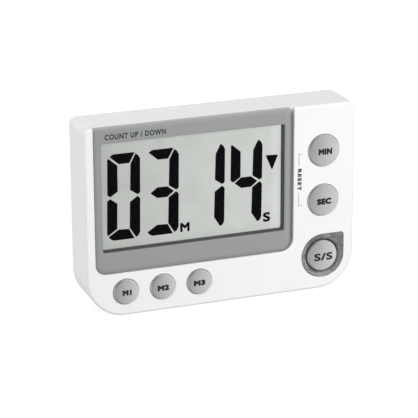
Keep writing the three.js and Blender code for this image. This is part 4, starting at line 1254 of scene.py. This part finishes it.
# ------------------------------------------------------------------ rear shell
def rear_shell():
    rings = quarter(outline, PART + 0.05, 0.14, 1, 3)
    rings += quarter(outline, BACK, EDGE_BACK, -1, 12)[::-1]
    a = loft("rear", rings)
    boolean(a, "-", loft("c", [(outline(2.0), 0), (outline(2.0), 9.6), (outline(2.4), 10.5), (outline(3.4), BACK - 2.0)]))
    lip = prism("lip", outline(2.4), 4.6, 7.0)
    lip.data.transform(Matrix.Identity(4))
    boolean(a, "+", lip)
    # the tongue joins the wall where the two meet
    boolean(a, "+", loft("lj", [(outline(1.2), PART + 0.35), (outline(1.2), 7.6)]))
    boolean(a, "-", prism("ci", outline(3.4), 0, 7.8))
    for x, z in SHELL_SCREWS:
        boolean(a, "-", rod("n", x, z, 4.2, 0, PART + 0.05, 48))
        boolean(a, "+", rod("p", x, z, 3.9, PART + 0.05, BACK - 1, 48))
        side = math.copysign(63.0, x)
        boolean(a, "+", block("q", min(x, side), max(x, side), PART + 0.4, BACK - 1.9,
                              z - 1.7, (H - 1.5) if z > 60 else z + 1.7))
    boolean(a, "+",
            block("b", -BAY["x"] - 1.2, BAY["x"] + 1.2, -1.2, BACK - 1, BAY["z0"] - 1.2, BAY["z1"] + 1.2),
            block("b", -DOOR["x"] - 2, DOOR["x"] + 2, 9.6, BACK - 1, DOOR["z0"] - 1.8, DOOR["z1"] + 1.8),
            block("b", -STAND_X - 4.4, STAND_X + 4.4, STAND_FLOOR - 1.6, BACK - 1, 1.2, STAND_PIVOT[1] + 3.9),
            rod("b", PIEZO[0], PIEZO[1], PIEZO[2] + 1.5, 8.0, BACK - 1, 72))
    for x, z in MAGNETS:
        boolean(a, "+", rod("m", x, z, 8.4, 9.4, BACK - 1, 64))
    # battery bay, door seat, door pivots
    boolean(a, "-", block("v", -BAY["x"], BAY["x"], 0.0, BACK + 5, BAY["z0"], BAY["z1"]))
    boolean(a, "-", flared("v", lambda g: rrect(-28.5 - g, 28.5 + g, 49.6 - g, 77.9 + g, 1.6 + g, 1.6 + g,
                                                0.5 + g, 0.5 + g, 6), BACK, DOOR["y0"] - 0.2, 0.16, -1))
    boolean(a, "-", axle("v", -29.8, 29.8, DOOR_PIVOT[0], DOOR_PIVOT[1], 0.75, 24, 0.0))
    # thumb scoop: a shallow rounded dip
    dip = [(rrect(-6 - g, 6 + g, 75.5, 80.2 + g, 2.5 + g, 2.5 + g, 0.1, 0.1, 8), y) for g, y in
           [(-1.5, BACK - 1.3), (-0.9, BACK - 1.15), (-0.45, BACK - 0.85), (-0.15, BACK - 0.45), (0.0, BACK - 0.1), (0.15, BACK), (0.15, BACK + 3)]]
    sc = loft("sc", dip)
    fix_out(sc)
    boolean(a, "-", sc)
    for z in (58.1, 69.2):
        boolean(a, "-", block("v", BAY["x"] - 1, BAY["x"] + 3, 6.4, 7.6, z - 1.6, z + 1.6))
    # stand seat and pivots
    boolean(a, "-", flared("v", lambda g: rrect(-24.4 - g, 24.4 + g, 3.5 - g, 46.1 + g, *[0.5 + g] * 4, 6),
                           BACK, STAND_FLOOR, 0.16, -1))
    boolean(a, "-", axle("v", -27, 27, STAND_PIVOT[0], STAND_PIVOT[1], 1.35, 32, 0.0))
    for x, z in MAGNETS:
        boolean(a, "-", flared("v", lambda g, x=x, z=z: circle(x, z, 7.2 + g, 96), BACK, 10.9, 0.2, -1))
    # sounder seat and sound holes
    boolean(a, "-", rod("v", PIEZO[0], PIEZO[1], PIEZO[2] + 0.25, 0, 8.95, 72),
            rod("v", PIEZO[0], PIEZO[1], PIEZO[2] - 1.1, 0, BACK - 2.0, 72))
    for i in range(7):
        t, d = i * math.pi / 3, (0 if i == 6 else 5.5)
        cx, cz = PIEZO[0] + d * math.cos(t), PIEZO[1] + d * math.sin(t)
        boolean(a, "-", flared("v", lambda g, cx=cx, cz=cz: circle(cx, cz, 1.1 + g, 32), BACK, 9, 0.15, -1))
    # selector slot in a shallow dish
    sx, sz, tr = SELECTOR
    dish = [(rrect(sx - 4.5 - g, sx + 4.5 + g, sz - 6 - g, sz + tr + 6 + g, *[2 + g] * 4, 8), y) for g, y in
            [(-0.8, BACK - 1.0), (-0.35, BACK - 0.88), (-0.08, BACK - 0.55), (0.0, BACK - 0.15), (0.12, BACK), (0.12, BACK + 3)]]
    dc = loft("dc", dish)
    fix_out(dc)
    boolean(a, "-", dc)
    boolean(a, "-", prism("v", rrect(sx - 2.7, sx + 2.7, sz - 2.8, sz + tr + 2.8, *[0.4] * 4, 4), 8, BACK + 5))
    for x, z in SHELL_SCREWS:
        boolean(a, "-", rod("v", x, z, 1.45, 0, BACK + 5, 24))
        boolean(a, "-", flared("v", lambda g, x=x, z=z: circle(x, z, 2.7 + g, 64), BACK, 9.3, 0.15, -1))
    return piece(a, "rear_shell_fine", "case", WHITE, ["rear_shell"])


rear_shell()

# ------------------------------------------------------------------ battery door
def battery_door():
    r = BACK - DOOR_PIVOT[0]
    plate = loft("d", [(rrect(-28.2, 28.2, 48.5, 77.6, 1.4, 1.4, 0.1, 0.1, 8), DOOR["y0"])]
                 + quarter(lambda g: rrect(-28.2 + g, 28.2 - g, 48.5, 77.6 - g, 1.4 - g, 1.4 - g, 0.1, 0.1, 8),
                           BACK, 0.22, -1, 5)[::-1])
    y, z = DOOR_PIVOT
    side = [(y + r * math.cos(t), z + r * math.sin(t)) for t in np.linspace(0, -math.pi, 17)]
    prof = side + [(DOOR["y0"], 80), (BACK, 80)]
    boolean(plate, "&", prism_x("k", prof, -40, 40))
    boolean(plate, "+", axle("p", -29.5, 29.5, y, z, 0.5, 32, 0.1))
    boolean(plate, "+", rblock("rib", -25.0, 25.0, 10.9, DOOR["y0"] + 0.3, 58.45, 59.65, 0.15, 2))
    for s in (-1, 1):
        boolean(plate, "-", block("v", min(5.4 * s, 6.2 * s), max(5.4 * s, 6.2 * s), 10, 14, 70.6, 79))
        boolean(plate, "-", rod("v", 5.8 * s, 70.6, 0.4, 10, 14, 24))
    for i in range(3):
        zc = 77.6 - 1.8 - i * 1.7
        g = axle("g", -4, 4, BACK + 0.02, zc, 0.45, 24, 0.2)
        boolean(plate, "-", g)
    # arrow cut into the face, pointing to the latch
    tri = fillet([(0, 68.4), (-1.7, 65.6), (1.7, 65.6)], 0.2, 3)
    arrow = prism("v", tri, BACK - 0.25, BACK + 1)
    fix_out(arrow)
    boolean(plate, "-", arrow)
    return piece(plate, "battery_door_fine", "battery_door", WHITE, ["battery_door"])


battery_door()

# ------------------------------------------------------------------ stand
def stand():
    y0, y1 = STAND_Y
    py, pz = STAND_PIVOT
    side = fillet([(y0, STAND_Z0), (y1, STAND_Z0), (y1, pz + 0.5), (py, pz + STAND_HEEL), (y0, pz + STAND_HEEL)],
                  [0.6, 0.6, 0.5, 0.35, 0.35], 5)
    a = prism_x("s", side, -STAND_X, STAND_X, 0.3, 4)
    boolean(a, "+", axle("x", -STAND_X - 2.4, STAND_X + 2.4, py, pz, 1.1, 40, 0.2))
    # finger notch with a rounded lip
    notch = flared("n", lambda g: circle(0, STAND_Z0 - 1.5, 6.5 + g, 96), y1, 9, 0.35, -1)
    boolean(a, "-", notch)
    rec = [(rrect(-17 - g, 17 + g, 14 - g, 38 + g, *[1.2 + g] * 4, 8), y) for g, y in
           [(-0.35, y1 - 0.5), (-0.12, y1 - 0.42), (0.0, y1 - 0.2), (0.12, y1), (0.12, y1 + 3)]]
    rc = loft("rc", rec)
    fix_out(rc)
    boolean(a, "-", rc)
    for i in range(4):
        x = -10.2 + i * 6.8
        boolean(a, "+", rblock("r", x - 0.6, x + 0.6, y1 - 0.75, y1, 13.8, 38.2, 0.22, 4))
    return piece(a, "stand_fine", "stand", WHITE, ["stand"])


stand()

# ------------------------------------------------------------------ magnets, sounder, selector
for i, (x, z) in enumerate(MAGNETS):
    prof = fillet([(0, 11.0), (7.0, 11.0), (7.0, 13.0), (0, 13.0)], 0.35, 6, closed=False)
    m = lathe("m", prof, x, z, 96)
    fix_out(m)
    nm = ("magnet_left", "magnet_right")[i]
    piece(m, nm + "_fine", "case", MAGNET, [nm])

prof = fillet([(0, 8.3), (10, 8.3), (10, 8.6), (13.5, 8.6), (13.5, 8.9), (0, 8.9)], [0, 0.08, 0.05, 0.06, 0.06, 0], 2, closed=False)
pz = lathe("p", prof, PIEZO[0], PIEZO[1], 96)
fix_out(pz)
paint(pz, lambda p, q: p[1] < 8.59 and math.hypot(p[0] - PIEZO[0], p[2] - PIEZO[1]) < 10.05, 1)
piece(pz, "piezo_disc_fine", "case", [BRASS, CERAMIC], ["piezo_disc"])


def knob():
    x, z, _ = SELECTOR
    a = rblock("k", x - 4, x + 4, 9.4, 10.8, z - 7.1, z + 7.1, 0.2, 3, 0.8)
    boolean(a, "+", rblock("k", x - 1, x + 1, 0.9, 9.6, z - 1, z + 1, 0.15, 2))
    boolean(a, "+", rblock("k", x - 2.4, x + 2.4, 10.5, 12.25, z - 2.5, z + 2.5, 0.2, 3, 0.45))
    for c in (-2.0, 0.0, 2.0):
        boolean(a, "+", rblock("k", x - 2.4, x + 2.4, 11.5, 12.9, z + c - 0.5, z + c + 0.5, 0.3, 4))
    return piece(a, "selector_knob_fine", "selector_knob", BLACK, ["selector_knob"])


knob()

# stop marks pressed beside the selector dish: one dot at each end of its travel
for tag, zz in (("low", 66.0), ("high", 70.0)):
    d = lathe("d", fillet([(0, 13.04), (0.55, 13.04), (0.55, 13.12), (0, 13.12)], [0, 0.03, 0.03, 0], 2, closed=False),
              SELECTOR[0] + 6.2, zz, 32)
    fix_out(d)
    # kept level with the back face
    d.data.transform(Matrix.Translation((0, -0.02, 0)))
    piece(d, f"selector_mark_{tag}", "case", INK_DARK, flat_area=1e9, weld=5e-5)


# ------------------------------------------------------------------ screws
def screw(name, node, x, y, z, head_r, head_h, length):
    s = 1.2
    prof = [(0, y + head_h)]
    for t in np.linspace(0.15, 1, 7):
        a = t * math.pi / 2
        prof.append((head_r * math.sin(a), y + head_h * (0.42 + 0.58 * math.cos(a))))
    prof += [(head_r, y + 0.1), (head_r - 0.1, y), (s, y)]
    # thread: alternate crest and root down the shank
    n = int(length / 0.55)
    for i in range(n):
        yy = y - 0.35 - i * (length - 1.3) / n
        prof += [(s, yy), (s - 0.22, yy - 0.22)]
    prof += [(s - 0.25, y - length + 0.9), (0, y - length)]
    a = lathe(name, prof[::-1], x, z, 40)
    fix_out(a)
    for w, h in ((head_r * 0.55, 0.25), (0.25, head_r * 0.55)):
        c = loft("v", [([(x - w * .8, z - h * .8), (x + w * .8, z - h * .8), (x + w * .8, z + h * .8), (x - w * .8, z + h * .8)], y + head_h * 0.35),
                       ([(x - w, z - h), (x + w, z - h), (x + w, z + h), (x - w, z + h)], y + head_h + 1)])
        fix_out(c)
        boolean(a, "-", c)
    piece(a, name, "case", STEEL, [node])


for i, (x, z) in enumerate(SHELL_SCREWS):
    screw(f"shell_screw_{i + 1}_fine", f"shell_screw_{i + 1}", x, 9.35, z, 2.4, 1.6, 9.8)
for i, (x, z) in enumerate(BOARD_SCREWS):
    screw(f"board_screw_{i + 1}_fine", f"board_screw_{i + 1}", x, -2.05, z, 2.2, 1.3, 5.6)

# ------------------------------------------------------------------ cells and contacts
CELL_WRAP = {1: cell_mat("cell_wrap_right", 1), -1: cell_mat("cell_wrap_left", -1)}
for nm, sign, z in (("cell_upper", 1, 69.2), ("cell_lower", -1, 58.1)):
    prof = fillet([(0, 0), (4.6, 0), (5.25, 0.5), (5.25, 43.0), (4.7, 43.5), (1.9, 43.5), (1.9, 44.5), (0, 44.5)],
                  [0, 0.3, 0.4, 0.6, 0.3, 0.12, 0.3, 0], 4, closed=False)
    c = lathe("c", prof, 0, 0, 72)
    fix_out(c)
    paint(c, lambda p, q: math.hypot(p[0], p[2]) < 4.75, 1)
    turn_to_x(c, -20.6 * sign, 5.45, z, sign)
    piece(c, nm + "_fine", "case", [CELL_WRAP[sign], NICKEL], [nm])


def coil(x0, x1, z):
    pts = []
    for t in np.linspace(0, 1, 100):
        a = 2 * math.pi * 3.5 * t
        r = 3.4 + (2.2 - 3.4) * t
        pts.append(Vector((x0 + (x1 - x0) * t, 5.45 + r * math.cos(a), z + r * math.sin(a))))
    return sweep("coil", pts, 0.35, 10)


def contact(name, plate, bump=None, spring=None, tail=None):
    x0, x1, z0, z1 = plate
    a = prism_x("c", fillet([(1.2, z0), (9.3, z0), (9.3, z1), (1.2, z1)], 0.5, 4), x0, x1, 0.06, 2)
    if bump:
        bx0, bx1, bz = bump
        boolean(a, "+", axle("b", bx0, bx1, 5.45, bz, 1.6, 36, 0.25))
    if spring:
        boolean(a, "+", coil(*spring))
    if tail is not None:
        boolean(a, "+", rblock("t", 25.2, 28.6, 6.8, 7.2, tail - 1.2, tail + 1.2, 0.08, 2, 0.5))
    piece(a, name + "_fine", "case", NICKEL, [name], angle=35)


contact("bridge_contact", (-25.4, -25.0, 53.2, 74.1), (-25.1, -24.1, 58.1), (-25.2, -21.3, 69.2))
contact("positive_contact", (25.0, 25.4, 64.4, 74.1), (24.1, 25.1, 69.2), None, 69.2)
contact("negative_contact", (25.0, 25.4, 53.2, 62.9), None, (25.2, 21.3, 58.1), 58.1)

for nm, pts, r, mat, slot_name in (
        ("battery_wire_red", [(29.4, 7, 69.2), (30.6, 5, 68.6), (32.5, 1.5, 66.5), (33.5, -1.3, 64)], 0.6, RED_PVC, "red_wire"),
        ("battery_wire_black", [(29.4, 7, 58.1), (30.4, 5, 56.8), (31, 1.5, 53), (31.5, -1.3, 50)], 0.6, BLACK_PVC, "black_wire"),
        ("piezo_wire_a", [(41, 7.4, 64), (40.5, 5.5, 62), (38, 1.5, 58), (36, -1.3, 55.5)], 0.55, RED_PVC, "red_wire"),
        ("piezo_wire_b", [(50, 7.4, 56.8), (48, 5.5, 55), (43, 1.5, 52), (39, -1.3, 49.5)], 0.55, BLACK_PVC, "black_wire")):
    piece(tube("w", pts, r, 16, 10), nm + "_fine", "case", mat, [nm], flat_area=1e9)

blob = lathe("e", [(0, -0.42)] + [(7.0 * math.sin(t), -2.05 + 1.6 * math.cos(t) ** 1.3) for t in np.linspace(0.1, math.pi / 2 - 0.05, 14)]
             + [(7.0, -2.05), (0, -2.05)], -43, 44, 72)
fix_out(blob)
piece(blob, "chip_blob_fine", "case", EPOXY, ["chip_blob"])
cr = axle("cr", -51.5, -45.5, -0.95, 33, 1.0, 48, 0.3)
piece(cr, "clock_crystal_fine", "case", STEEL, ["clock_crystal"])

# ------------------------------------------------------------------ carried-over nodes
KEEP = {
    "lcd_frame": NATURAL, "zebra_strip_bottom": ZEBRA, "zebra_strip_top": ZEBRA, "main_pcb": BOARD,
    "selector_switch": STEEL,
}
for nm, ob in NODES.items():
    m = KEEP.get(nm, WHITE)
    if not ob.material_slots:
        ob.data.materials.append(m)
    for s in ob.material_slots:
        s.material = m

# ------------------------------------------------------------------ floor, light, camera
world = bpy.data.worlds.new("studio")
bpy.context.scene.world = world
world.use_nodes = True


def studio_light(nt):
    """White to the eye; softly directional for the surfaces, and a frontal glow for the gloss."""
    nt.nodes.clear()
    out = nt.nodes.new("ShaderNodeOutputWorld")
    bgn = nt.nodes.new("ShaderNodeBackground")
    tc = nt.nodes.new("ShaderNodeTexCoord")

    def ramp(direction, lo, hi, v0, v1):
        dot = nt.nodes.new("ShaderNodeVectorMath")
        dot.operation = "DOT_PRODUCT"
        link(nt, tc.outputs["Generated"], dot.inputs[0])
        dot.inputs[1].default_value = Vector(direction).normalized()
        mr = nt.nodes.new("ShaderNodeMapRange")
        mr.interpolation_type = "LINEAR"
        mr.inputs["From Min"].default_value = lo
        mr.inputs["From Max"].default_value = hi
        mr.inputs["To Min"].default_value = v0
        mr.inputs["To Max"].default_value = v1
        link(nt, dot.outputs["Value"], mr.inputs["Value"])
        return mr.outputs["Result"]

    soft = ramp(WORLD_DIR, -1, 1, WORLD_LO, WORLD_HI)
    gloss_front = ramp(GLOSS_DIR, GLOSS_A, GLOSS_B, GLOSS_LO, GLOSS_HI)
    gloss_back = ramp((-0.1, 1.0, -0.15), 0.35, 0.95, 0.0, 1.05)
    gloss_top = ramp((0.35, -0.35, 0.87), 0.74, 0.97, 0.0, 0.9)
    gloss_left = ramp((-0.78, -0.52, -0.35), 0.74, 1.0, 0.0, 0.8)
    gloss = gloss_front
    for lobe in (gloss_back, gloss_top, gloss_left):
        add = nt.nodes.new("ShaderNodeMath")
        add.operation = "ADD"
        link(nt, gloss, add.inputs[0])
        link(nt, lobe, add.inputs[1])
        gloss = add.outputs[0]
    lp = nt.nodes.new("ShaderNodeLightPath")
    m1 = nt.nodes.new("ShaderNodeMix")
    link(nt, lp.outputs["Is Glossy Ray"], m1.inputs["Factor"])
    link(nt, soft, m1.inputs["A"])
    link(nt, gloss, m1.inputs["B"])
    m2 = nt.nodes.new("ShaderNodeMix")
    link(nt, lp.outputs["Is Camera Ray"], m2.inputs["Factor"])
    link(nt, m1.outputs["Result"], m2.inputs["A"])
    m2.inputs["B"].default_value = 1.0
    link(nt, m2.outputs["Result"], bgn.inputs["Strength"])
    link(nt, bgn.outputs["Background"], out.inputs["Surface"])


WORLD_DIR, WORLD_LO, WORLD_HI = (-0.45, -0.50, 0.60), 0.08, 1.15
GLOSS_DIR, GLOSS_A, GLOSS_B, GLOSS_LO, GLOSS_HI = (0.9, -0.45, -0.25), 0.33, 1.0, 0.16, 1.42
studio_light(world.node_tree)

fm = bpy.data.meshes.new("floor")
fm.from_pydata([(-4, -4, 0), (4, -4, 0), (4, 4, 0), (-4, 4, 0)], [], [(0, 1, 2, 3)])
floor = bpy.data.objects.new("floor", fm)
bpy.context.scene.collection.objects.link(floor)
floor.location.z = -0.0001
fm.materials.append(finish_mat("floor_paper", (0.30, 0.30, 0.302), 0.7, var=0.004, big=3, grain=900, bump=0.02,
                               spec=0.1, emission=0.80))
floor.visible_diffuse = False
floor.visible_glossy = False


def area(name, loc, target, size, power, color=(1, 1, 1), diffuse=True, glossy=True, size_y=None):
    ld = bpy.data.lights.new(name, "AREA")
    ld.shape = "RECTANGLE"
    ld.size = size
    ld.size_y = size_y or size
    ld.energy = power
    ld.color = color
    ob = bpy.data.objects.new(name, ld)
    bpy.context.scene.collection.objects.link(ob)
    ob.location = loc
    d = Vector(target) - Vector(loc)
    ob.rotation_euler = d.to_track_quat("-Z", "Y").to_euler()
    ob.visible_diffuse = diffuse
    ob.visible_glossy = glossy
    return ob


area("key", (0.20, -0.50, 0.25), (0.03, 0, 0.045), 0.26, 1.56, glossy=False)
area("left", (-0.80, -0.10, 0.30), (0, 0, 0.045), 0.5, 0.9, glossy=False)
area("behind", (0.05, 0.90, 0.25), (0, 0, 0.045), 0.6, 3.0, glossy=False)
area("low_left", (-0.5, 0.5, 0.18), (0, 0, 0.045), 0.3, 0.5, glossy=False)

th, ph, ro = math.radians(20.63), math.radians(18.53), math.radians(-0.25)
back = Vector((-math.sin(th) * math.cos(ph), -math.cos(th) * math.cos(ph), math.sin(ph)))
right = Vector((math.cos(th), -math.sin(th), 0))
up = back.cross(right)
r2 = right * math.cos(ro) + up * math.sin(ro)
u2 = -right * math.sin(ro) + up * math.cos(ro)
C = (Vector((0, FRONT, 45.0)) + right * -6.49 + up * 0.03 + back * 904.8) * MM
cd = bpy.data.cameras.new("camera")
cd.lens = 171.70
cd.sensor_width = 36.0
cd.clip_start = 0.01
cd.clip_end = 50
cam = bpy.data.objects.new("camera", cd)
bpy.context.scene.collection.objects.link(cam)
cam.matrix_world = Matrix(((r2.x, u2.x, back.x, C.x), (r2.y, u2.y, back.y, C.y), (r2.z, u2.z, back.z, C.z), (0, 0, 0, 1)))
bpy.context.scene.camera = cam
bpy.context.scene.view_settings.view_transform = "Standard"
bpy.context.scene.view_settings.look = "None"
